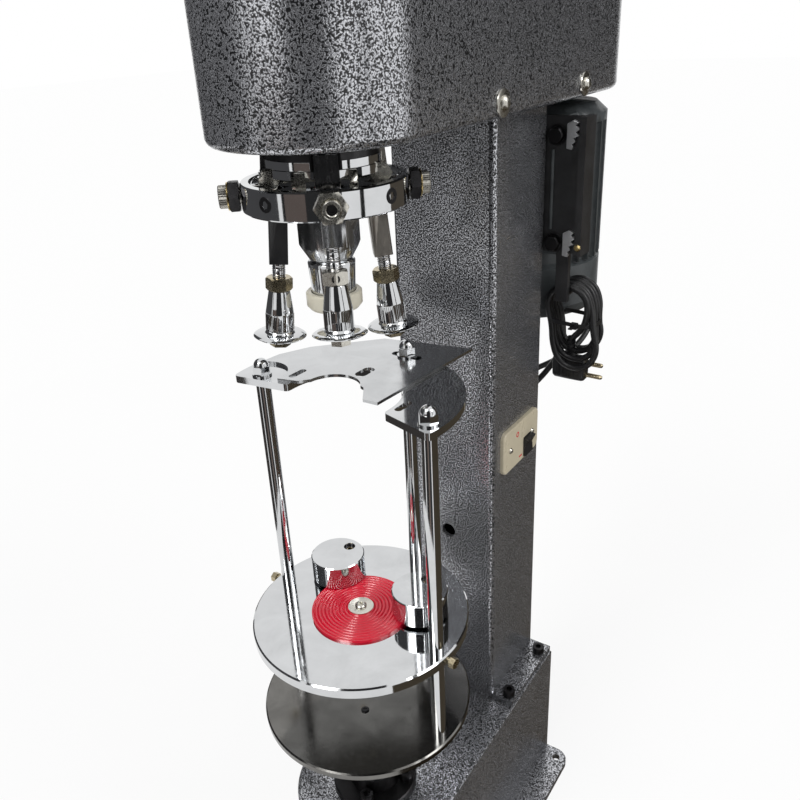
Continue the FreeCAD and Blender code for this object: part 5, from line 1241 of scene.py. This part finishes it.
    def _capped_screw(self) -> bpy.types.Object:
        """Make an adjusting screw with a knurled head and a hexagon socket.

        Returns:
            The template.
        """
        screw = Shaper().lathe(((0, 0), (5.4, 0), (6.0, 0.6), (6.0, 25.2), (0, 25.2)), steps=32)
        rim = [circle(lambda angle: knurled(radius, angle, self.knurls), height, self.knurls)
               for radius, height in ((7.2, 24.8), (7.7, 25.3), (7.7, 30.2), (7.1, 30.8))]
        socket = [circle(lambda angle: hexagon(flats, angle), height, self.knurls)
                  for flats, height in ((6.8, 30.8), (6.6, 27.4))]
        screw.loft([[(0, 0, 24.8)]] + rim + socket + [[(0, 0, 27.2)]])
        return template("adjuster_capped", screw)

    def _adjuster_seats(self, indices: Sequence[int], radius: float) -> list[Seat]:
        """Give seats on the adjusters' axes, at a radius from the spindle's axis."""
        return [Seat(polar(radius, self.angle(i), self.adjuster_z), polar(1.0, self.angle(i)),
                     spin=0.3 + 0.5 * i) for i in indices]

    def _adjusters(self) -> None:
        """Set the adjusting screws with their lock nuts; the front one is a set screw."""
        capped = self._capped_screw()
        socket = headed("adjuster_socket", radius=3.3, height=1.3, key=4.2, drive=Drive.HEXAGON)
        headless = template("adjuster_headless", Shaper().lathe((
            (0, 0), (5.9, 0), (5.9, 28.0), (5.3, 28.7), (3.9, 28.7), (3.4, 28.2), (3.4, 26.4), (0, 26.4),
        ), steps=48))
        nut = template("adjuster_nut", Shaper().nut(flats=19.0, height=self.adjuster_nut, bore=6.05))
        washer = template("adjuster_washer", Shaper().lathe((
            (6.1, 0), (9.0, 0), (9.3, 0.3), (9.3, 1.0), (9.0, 1.2), (6.1, 1.2),
        )))
        root = self.adjuster_root
        start = self.ring_radius + 0.6
        outside = start + self.adjuster_nut
        seats, rest, front = self._adjuster_seats, (0, 1, 2), (3,)
        seated("adjusters_capped", seats(rest, root), capped, "spindle", "zinc_plate",
               ["adjusting_screws"])
        seated("adjuster_front", seats(front, root), headless, "spindle", "zinc_plate")
        seated("adjuster_socket", seats(front, self.socket_reach), socket, "spindle", "black_oxide")
        seated("adjuster_nuts_black", seats(rest, start), nut, "spindle", "black_oxide")
        seated("adjuster_nut_front", seats(front, start), nut, "spindle", "zinc_plate")
        seated("adjuster_washers", seats(rest, outside), washer, "spindle", "yellow_brass")

    def _stem_stud(self) -> None:
        """Set a small socket screw in the side of the front arm's lock nut."""
        place = self._arm_place(3)
        height = -self.arm_lengths[1] - self.stem_lengths[1] - self.nut_height / 2
        stud = headed("stem_stud", radius=2.8, height=0.7, key=2.9, drive=Drive.HEXAGON)
        spot = tuple(place @ Vector((self.stud_reach, 0, height)))
        aim = tuple(place.to_3x3() @ Vector((1, 0, 0)))
        seated("stem_stud", [Seat(spot, aim)], stud, "arm_4_body", "black_oxide")

    def _ring_screws(self) -> None:
        """Set the socket screws that hold the ring on its spokes."""
        screw = headed("ring_screw", radius=5.2, height=3.5, key=4.6, drive=Drive.HEXAGON)
        between = [self.angle(i) + 45 for i in range(4)]
        reach = self.ring_radius - self.ring_screw_depth
        seats = [Seat(polar(reach, turn, self.adjuster_z + 0.4), polar(1.0, turn), spin=0.2)
                 for turn in between]
        seated("ring_screws", seats, screw, "spindle", "black_oxide")


@dataclass
class Carriage:
    """Lifting shaft, plates and rods, with the bottle tray on them."""

    pad_radius: float = 42.5
    pad_low: float = 373.0
    pad_thickness: float = 2.4
    stops: Sequence[tuple[str, float, float]] = (("left", -40.9, 41.2), ("right", 45.2, 36.3))
    stop_z: float = 390.2
    hub_circle: float = 25.0
    hub_turn: float = 30.0
    hub_z: float = 279.9

    def build(self) -> None:
        """Make and dress every piece."""
        for node in ("lift_shaft", "tray_rods", "neck_plate", "rod_nuts", "upper_plate", "eccentric_left",
                     "eccentric_right"):
            dressed(node, "chrome_plate")
        # the lower plate's darker colour is painted shade, standing in for the shadowed underside of the
        # upper plate mirrored in it
        dressed("lower_plate", "smudged_painted_shade_steel")
        dressed("guide_plate", "brushed_guide")
        dressed("tray_screws", "nickel_brass")
        dressed("pad_screw", "zinc_plate")
        self._mat()
        self._small_screws()

    def _small_screws(self) -> None:
        """Set black caps in the bottle stops, and the lower plate's hub screws."""
        cap = headed("stop_cap", radius=4.95, height=5.3, key=5.0, drive=Drive.HEXAGON)
        for name, x, y in self.stops:
            seats = [Seat((x, y, self.stop_z), Way.UP.value, spin=0.3)]
            seated("stop_cap_" + name, seats, cap, "tray", "black_oxide")
        head = headed("hub_screw", radius=3.6, height=0.9, key=3.4, drive=Drive.HEXAGON)
        seats = [Seat(polar(self.hub_circle, self.hub_turn + 90 * i, self.hub_z), Way.UP.value, spin=0.4 * i)
                 for i in range(4)]
        seated("hub_screws", seats, head, "carriage", "black_oxide")

    def _mat(self) -> None:
        """Lay the ribbed rubber mat in the middle of the tray."""
        mesh = grown("mat", "mat", at=Matrix.Translation((0, 0, self.pad_low * MM)),
                     Radius=self.pad_radius * MM, Bore=3.0 * MM, Rib_Pitch=3.1 * MM, Rib_Depth=0.9 * MM,
                     Thickness=self.pad_thickness * MM, Finish=MATERIALS["red_rubber"])
        smooth(mesh, 60)
        show(bpy.data.objects.new("ribbed_mat", mesh), "tray", "red_rubber", ["rubber_pad"])


@dataclass
class SwitchSet:
    """Switch on the column's side."""

    face_x: float = 54.0
    middle_y: float = 201.5
    middle_z: float = 456.0
    screw_reach: float = 23.5

    def build(self) -> None:
        """Make and dress every piece."""
        dressed("switch_plate", "ivory_plastic")
        dressed("switch_rocker", "black_plastic")
        self._screws()
        self._marks()

    def _screws(self) -> None:
        """Set the cross-head screws of the switch's plate."""
        head = headed("plate_screw", radius=2.9, height=1.0, key=3.0, drive=Drive.CROSS, dome=0.7)
        seats = []
        for side in (-1, 1):
            spot = (self.face_x - 0.1, self.middle_y + side * self.screw_reach, self.middle_z)
            seats.append(Seat(spot, Way.RIGHT.value, spin=0.6))
        seated("plate_screws", seats, head, "frame", "zinc_plate")

    def _marks(self) -> None:
        """Lay plain on and off marks: a ring and a bar."""
        marks = Shaper()
        back, front = self.face_x - 0.05, self.face_x + 0.17
        marks.lathe(((1.7, 0), (2.7, 0), (2.7, 0.22), (1.7, 0.22)),
                    aimed(Way.RIGHT.value, back, self.middle_y - 9, self.middle_z + 11), 32)
        marks.brick((back, self.middle_y - 5, self.middle_z - 16.2),
                    (front, self.middle_y + 1, self.middle_z - 14.8))
        piece("switch_marks", marks, "frame", "red_rubber")


@dataclass(frozen=True)
class Turn:
    """One turn of the wound lead: where it hangs, and how large its ends are, in millimetres."""

    top_y: float
    low_y: float
    top_radius: float
    low_radius: float
    low_x: float
    low_z: float


@dataclass
class Leads:
    """Mains lead, wound on its hook and ending in its plug, and the motor's cable."""

    radius: float = 3.1
    lead_length: float = 1.25
    cable_length: float = 0.3
    lead_route: Sequence[Point] = (
        (14, 266, 462), (14, 285, 462), (19, 303, 467), (29, 314, 481), (41, 313, 501), (51, 304, 520),
        (52, 299, 541), (51, 294.5, 559),
    )
    motor_route: Sequence[Point] = (
        (-14, 266, 462), (-14, 286, 462), (-8, 304, 467), (8, 322, 475), (28, 340, 484), (44, 360, 496),
        (50, 384, 514), (44, 402, 536), (30, 410, 562), (18, 411, 590), (12, 411, 618), (12, 411, 645),
    )
    arch_x: float = 70.0
    arch_z: float = 576.5
    turns: Sequence[Turn] = (
        Turn(293.5, 292.0, 19.6, 19.4, 73.0, 543.5),
        Turn(287.2, 289.0, 19.4, 20.6, 74.0, 545.0),
        Turn(280.9, 281.5, 19.9, 19.6, 73.0, 544.5),
        Turn(274.6, 271.5, 19.4, 20.4, 76.0, 541.0),
        Turn(268.3, 264.5, 20.4, 21.4, 78.5, 535.5),
    )
    last_step: float = 5.5
    last_shrink: float = 0.8
    tail: Sequence[Point] = (
        (88.5, 264.5, 562), (80, 270, 549), (71, 279, 540), (68, 282, 531), (68, 282, 520),
    )
    plug_middle: Point = (68.0, 282.0, 507.2)
    gland_x: float = 14.0
    gland_y: float = 265.6
    gland_z: float = 462.0
    tie_middle: Point = (71.5, 280.0, 559.5)
    tie_half: tuple[float, float] = (23.4, 17.6)
    tie_tilt: float = 1.6

    def build(self) -> None:
        """Make and dress every piece."""
        dressed("cord_gland", "black_plastic")
        self._relief("right", self.gland_x)
        self._relief("left", -self.gland_x)
        plug = self._plug()
        pins = self._pins()
        lead = self._curve("mains_lead", list(self.lead_route) + self._winding() + list(self.tail))
        show(lead, "frame", "cord_rubber", ["power_cord", "cord_hank"])
        cable = self._curve("motor_lead", self.motor_route)
        show(cable, "frame", "cord_rubber", ["motor_cable"])
        self._tie()

    def _curve(self, name: str, points: Sequence[Point]) -> bpy.types.Object:
        """Make a round cord along a smooth NURBS line.

        Args:
            name: Name of the cord.
            points: The line's control points, in millimetres.

        Returns:
            The cord, as a curve.
        """
        data = bpy.data.curves.new(name, "CURVE")
        data.dimensions = "3D"
        data.resolution_u = 10
        line = data.splines.new("NURBS")
        line.points.add(len(points) - 1)
        for knot, point in zip(line.points, points):
            knot.co = (*(c * MM for c in point), 1.0)
        line.order_u = 3
        line.use_endpoint_u = True
        line.use_smooth = True
        data.bevel_depth = self.radius * MM
        data.bevel_resolution = 3
        data.use_fill_caps = True
        return bpy.data.objects.new(name, data)

    @staticmethod
    def _bend(middle: Point, radius: float, turns: Sequence[float]) -> list[Point]:
        """Give control points that carry the cord round an upright arc.

        Args:
            middle: The arc's middle.
            radius: The arc's radius.
            turns: Angles of the control points, 45 degrees apart.

        Returns:
            The points, set outside the arc so that the line keeps its radius.
        """
        half_step = math.cos(math.radians(22.5)) ** 2
        reach = radius * (1 / half_step / (0.5 + 0.5 / half_step))
        x, y, z = middle
        angles = [math.radians(degrees) for degrees in turns]
        return [(x + reach * math.cos(a), y, z + reach * math.sin(a)) for a in angles]

    def _winding(self) -> list[Point]:
        """Wind the turns that hang on the hook: each goes up on the left, over the hook, and round below.

        Returns:
            The control points.
        """
        points = []
        for turn in self.turns:
            top = (self.arch_x, turn.top_y, self.arch_z)
            low = (turn.low_x, turn.low_y, turn.low_z)
            points += self._bend(top, turn.top_radius, (180, 135, 90, 45, 0))
            points.append(self._half_way(turn, 1))
            points += self._bend(low, turn.low_radius, (0, -45, -90, -135, -180))
            points.append(self._half_way(turn, -1))
        last = self.turns[-1]
        over = (self.arch_x, last.top_y - self.last_step, self.arch_z)
        return points + self._bend(over, last.top_radius - self.last_shrink, (180, 135, 90, 45, 10))

    def _half_way(self, turn: Turn, side: int) -> Point:
        """Give the point half way down one side of a turn.

        Args:
            turn: The turn.
            side: 1 for its right side, -1 for its left.

        Returns:
            The point.
        """
        top = self.arch_x + side * turn.top_radius
        low = turn.low_x + side * turn.low_radius
        return (top + low) / 2, (turn.top_y + turn.low_y) / 2, (self.arch_z + turn.low_z) / 2

    def _relief(self, side: str, x: float) -> None:
        """Make a ribbed, tapered sleeve where a cord leaves its gland.

        Args:
            side: Which gland.
            x: Its place along X.
        """
        bore, girth, ribs = self.radius + 0.02, 6.4, 6
        profile = [(bore, 0.0), (girth, 0.0)]
        for rib in range(ribs):
            start = 1.2 + 3.6 * rib
            wide = girth - 0.42 * rib
            profile += [(wide, start), (wide - 0.2, start + 1.6)]
            profile += [(wide - 1.1, start + 1.9), (wide - 1.15, start + 3.2)]
        profile += [(4.2, 23.2), (3.9, 24.0), (bore, 24.0)]
        sleeve = Shaper().lathe(profile, aimed(Way.BACK.value, x, self.gland_y, self.gland_z), 32)
        piece("gland_relief_" + side, sleeve, "frame", "black_plastic")

    def _plug_block(self, body: Shaper) -> None:
        """Shape the plug's rounded block with its finger ribs.

        Args:
            body: Where the shapes go.
        """
        x, y, z = self.plug_middle
        steps, squareness = 32, 0.45
        sections = ((-17, 4.6, 8.5), (-16, 6.6, 11), (-13.5, 7.8, 12.3), (-2, 8, 12.5), (9, 8, 12.5),
                    (14.5, 7.8, 12.3), (16.4, 7.2, 11.6), (17, 6.4, 10.8))
        rim = [superellipse(TAU * i / steps, squareness) for i in range(steps)]
        body.loft([[(x + along, y + half_y * u, z + half_z * v) for u, v in rim]
                   for along, half_y, half_z in sections])
        for side in (-1, 1):
            for step in range(5):
                low = (x - 10 + 4 * step, y + side * 7.6 - 0.9, z - 8)
                body.brick(low, (low[0] + 1.7, low[1] + 1.8, low[2] + 16))

    def _plug(self) -> bpy.types.Object:
        """Make the moulded plug with its tapered relief.

        Returns:
            The plug.
        """
        body = Shaper()
        self._plug_block(body)
        bore, ribs = self.radius + 0.02, 4
        taper = [(bore, 10.0), (6.2, 10.0), (6.2, 13.0)]
        for rib in range(ribs):
            start = 14.5 + 4.0 * rib
            wide = 5.8 - 0.4 * rib
            taper += [(wide, start), (wide, start + 1.8)]
            taper += [(wide - 0.9, start + 2.1), (wide - 0.9, start + 3.5)]
        taper += [(4.1, 31.0), (3.8, 32.0), (bore, 32.0)]
        body.lathe(taper, Matrix.Translation(self.plug_middle), 32)
        return piece("plug_body", body, "frame", "cord_rubber", ["power_plug"])

    def _pins(self) -> bpy.types.Object:
        """Make the two round contact pins.

        Returns:
            The pins.
        """
        x, y, z = self.plug_middle
        face, half_apart = x + 17, 6.25
        profile = ((0, -1), (2.35, -1), (2.35, 14.5), (2.0, 16.2), (1.2, 17.0), (0, 17.0))
        pins = Shaper()
        for height in (-half_apart, half_apart):
            pins.lathe(profile, aimed(Way.RIGHT.value, face, y, z + height), 24)
        return piece("plug_pins", pins, "frame", "nickel_brass")

    def _tie(self) -> None:
        """Strap a cable tie round the middle of the winding, with its lock and tail."""
        x, y, z = self.tie_middle
        half_x, half_y = self.tie_half
        steps, squareness = 48, 0.6
        section = ((0, -2.0), (1.2, -2.0), (1.2, 2.0), (0, 2.0))
        strap = Shaper()
        rings = []
        for i in range(steps):
            u, v = superellipse(TAU * i / steps, squareness)
            rings.append([(x + (half_x + out) * u, y + (half_y + out) * v, z + up - self.tie_tilt * u)
                          for out, up in section])
        strap.loft(rings, closed=True)
        front = y - half_y
        strap.brick((x + 4, front - 5.2, z - 3.2), (x + 10.5, front + 0.3, z + 2.6))
        strap.brick((x + 5.2, front - 13, z - 0.9), (x + 9.2, front - 4, z + 0.5))
        piece("cable_tie", strap, "frame", "black_plastic", bevel_mm=0.3)


@dataclass
class Studio:
    """Camera at the photograph's angle, plain floor, lamps and white surroundings."""

    camera: Point = (346.8, -425.7, 833.2)
    focal_px: float = 799.19
    frame_px: float = 800.0
    azimuth: float = 34.688
    tilt: float = 25.578
    roll: float = -2.936
    sensor_mm: float = 36.0
    surround: float = 0.45
    floor_glow: float = 0.86
    suns: Sequence[tuple[str, float, float, float, float]] = (
        ("key", -8.0, 48.0, 1.5, 24.0),
        ("side", 98.0, 38.0, 0.9, 28.0),
    )
    flags: Sequence[tuple[str, float, float, float, float, Point]] = (
        ("behind_camera", 12.0, 58.0, 0.0, 2300.0, (0.03, 0.03, 0.031)),
        ("left", -118.0, -27.0, 150.0, 2300.0, (0.07, 0.07, 0.073)),
        ("left_strip", -21.0, -17.0, 0.0, 2300.0, (0.02, 0.02, 0.02)),
        ("front_low", -17.0, 12.0, 0.0, 620.0, (0.13, 0.105, 0.095)),
        ("right_strip", 84.0, 90.0, 0.0, 2300.0, (0.02, 0.02, 0.02)),
        ("right_rear_low", 134.0, 176.0, 0.0, 640.0, (0.08, 0.069, 0.055)),
        ("right_rear", 134.0, 176.0, 640.0, 2300.0, (0.028, 0.026, 0.024)),
        ("far_strip", -168.0, -163.0, 0.0, 900.0, (0.04, 0.04, 0.04)),
    )
    flag_radius: float = 1700.0
    flag_thickness: float = 10.0
    floor_reach: float = 14000.0
    ground_flags: Sequence[tuple[str, float, float, float, float, Point]] = (
        ("front_left", -125.0, -38.0, 720.0, 1680.0, (0.05, 0.046, 0.044)),
        ("front_middle", -25.0, 8.0, 720.0, 1680.0, (0.035, 0.033, 0.032)),
        ("front_brown", 8.0, 24.0, 720.0, 1680.0, (0.2, 0.16, 0.14)),
        ("front_right", 24.0, 50.0, 720.0, 1680.0, (0.05, 0.05, 0.052)),
        ("near", -125.0, 62.0, 110.0, 260.0, (0.1, 0.1, 0.1)),
        ("right", 62.0, 185.0, 60.0, 1700.0, (0.065, 0.053, 0.038)),
    )

    def build(self) -> None:
        """Set up the camera, floor, lamps, flags and world."""
        self._camera()
        self._floor()
        for sun in self.suns:
            self._sun(*sun)
        for flag in self.flags:
            self._flag(*flag)
        for flag in self.ground_flags:
            self._ground_flag(*flag)
        self._world()
        bpy.context.scene.view_settings.view_transform = "Standard"

    def _camera(self) -> None:
        """Stand the camera where the photograph was taken from."""
        a, t, r = (math.radians(v) for v in (self.azimuth, self.tilt, self.roll))
        right = Vector((math.cos(a), math.sin(a), 0))
        back = Vector((math.sin(a) * math.cos(t), -math.cos(a) * math.cos(t), math.sin(t)))
        up = back.cross(right)
        across = right * math.cos(r) + up * math.sin(r)
        above = up * math.cos(r) - right * math.sin(r)
        data = bpy.data.cameras.new("photo_view")
        data.sensor_width = self.sensor_mm
        data.lens = self.sensor_mm * self.focal_px / self.frame_px
        data.clip_start, data.clip_end = 0.01, 50.0
        camera = bpy.data.objects.new("photo_view", data)
        turn = Matrix((across, above, back)).transposed().to_4x4()
        camera.matrix_world = Matrix.Translation(Vector(self.camera) * MM) @ turn
        bpy.context.scene.collection.objects.link(camera)
        bpy.context.scene.camera = camera

    @staticmethod
    def _seen(tree: bpy.types.NodeTree) -> bpy.types.NodeSocket:
        """Give 1 to camera, mirror and see-through rays, and 0 to the rest.

        Args:
            tree: The node tree that asks.

        Returns:
            The value's socket.
        """
        path = tree.nodes.new("ShaderNodeLightPath")
        value = path.outputs["Is Camera Ray"]
        for name in ("Is Glossy Ray", "Is Transmission Ray"):
            join = tree.nodes.new("ShaderNodeMath")
            join.operation = "MAXIMUM"
            tree.links.new(value, join.inputs[0])
            tree.links.new(path.outputs[name], join.inputs[1])
            value = join.outputs[0]
        return value

    def _floor(self) -> None:
        """Lay a wide white floor that keeps a soft shadow."""
        reach = self.floor_reach
        sheet = Shaper().brick((-reach, -reach, -4), (reach, reach, 0))
        floor = bpy.data.objects.new("floor", sheet.mesh("floor"))
        material = bpy.data.materials.new("white_floor")
        material.use_nodes = True
        tree = material.node_tree
        shader = tree.nodes["Principled BSDF"]
        shader.inputs["Base Color"].default_value = (0.93, 0.93, 0.93, 1)
        shader.inputs["Roughness"].default_value = 0.8
        shader.inputs["Specular IOR Level"].default_value = 0.1
        glow = tree.nodes.new("ShaderNodeEmission")
        mixer = tree.nodes.new("ShaderNodeMixShader")
        share = tree.nodes.new("ShaderNodeMath")
        share.operation = "MULTIPLY"
        share.inputs[1].default_value = self.floor_glow
        tree.links.new(self._seen(tree), share.inputs[0])
        tree.links.new(share.outputs[0], mixer.inputs[0])
        tree.links.new(shader.outputs[0], mixer.inputs[1])
        tree.links.new(glow.outputs[0], mixer.inputs[2])
        tree.links.new(mixer.outputs[0], tree.nodes["Material Output"].inputs["Surface"])
        floor.data.materials.append(material)
        bpy.context.scene.collection.objects.link(floor)

    def _sun(self, name: str, azimuth: float, height: float, strength: float, width: float) -> None:
        """Hang a distant soft lamp.

        Args:
            name: The lamp's name.
            azimuth: Where it stands, from the front towards the right, in degrees.
            height: How high it stands, in degrees.
            strength: Its strength.
            width: How wide it looks, in degrees.
        """
        data = bpy.data.lights.new(name, "SUN")
        data.energy = strength
        data.angle = math.radians(width)
        lamp = bpy.data.objects.new(name, data)
        a, e = math.radians(azimuth), math.radians(height)
        toward = Vector((math.sin(a) * math.cos(e), -math.cos(a) * math.cos(e), math.sin(e)))
        lamp.rotation_mode = "QUATERNION"
        lamp.rotation_quaternion = toward.to_track_quat("Z", "Y")
        bpy.context.scene.collection.objects.link(lamp)

    @staticmethod
    def _stand(name: str, shaper: Shaper, colour: Point) -> None:
        """Put up a screen that only mirrors see.

        Args:
            name: The screen's name.
            shaper: Its shape.
            colour: What the mirrors see.
        """
        material = bpy.data.materials.new(name)
        material.use_nodes = True
        nodes = material.node_tree.nodes
        glow = nodes.new("ShaderNodeEmission")
        glow.inputs["Color"].default_value = (*colour, 1)
        material.node_tree.links.new(glow.outputs[0], nodes["Material Output"].inputs["Surface"])
        screen = bpy.data.objects.new(name, shaper.mesh(name))
        screen.data.materials.append(material)
        bpy.context.scene.collection.objects.link(screen)
        screen.visible_camera = screen.visible_diffuse = screen.visible_shadow = False
        screen.visible_transmission = screen.visible_volume_scatter = False

    @staticmethod
    def _arc(start: float, end: float, inner: float, outer: float) -> list[tuple[float, float]]:
        """Give the outline of part of a ring.

        Args:
            start: Where it starts, from the front towards the right, in degrees.
            end: Where it ends.
            inner: Inner radius.
            outer: Outer radius.

        Returns:
            The outline.
        """
        steps = 24
        turns = [math.radians(start + (end - start) * i / steps) for i in range(steps + 1)]
        rim = [(outer * math.sin(a), -outer * math.cos(a)) for a in turns]
        return rim + [(inner * math.sin(a), -inner * math.cos(a)) for a in reversed(turns)]

    def _flag(self, name: str, start: float, end: float, low: float, high: float, colour: Point) -> None:
        """Stand an upright curved screen round the object; angles are as for _arc."""
        outline = self._arc(start, end, self.flag_radius, self.flag_radius + self.flag_thickness)
        self._stand("flag_" + name, Shaper().slab(outline, low, high), colour)

    def _ground_flag(self, name: str, start: float, end: float, inner: float, outer: float,
                     colour: Point) -> None:
        """Lay a darker sheet on the floor for the object's mirrors; angles are as for _arc."""
        outline = self._arc(start, end, inner, outer)
        self._stand("ground_" + name, Shaper().slab(outline, 1.0, 2.0), colour)

    def _world(self) -> None:
        """Surround the object with soft light that camera and mirrors see as white."""
        world = bpy.data.worlds.new("surroundings")
        bpy.context.scene.world = world
        world.use_nodes = True
        tree = world.node_tree
        background = tree.nodes["Background"]
        background.inputs["Color"].default_value = (1, 1, 1, 1)
        level = tree.nodes.new("ShaderNodeMapRange")
        level.inputs["To Min"].default_value = self.surround
        level.inputs["To Max"].default_value = 1.0
        tree.links.new(self._seen(tree), level.inputs["Value"])
        tree.links.new(level.outputs["Result"], background.inputs["Strength"])


def main() -> None:
    """Build the studio and every sub-assembly."""
    logging.basicConfig(level=logging.INFO, format="%(message)s")
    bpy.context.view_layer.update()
    Studio().build()
    Leads().build()
    FrameWork().build()
    MotorDrive().build()
    CappingHead().build()
    Carriage().build()
    SwitchSet().build()


if __name__ == "__main__":
    main()
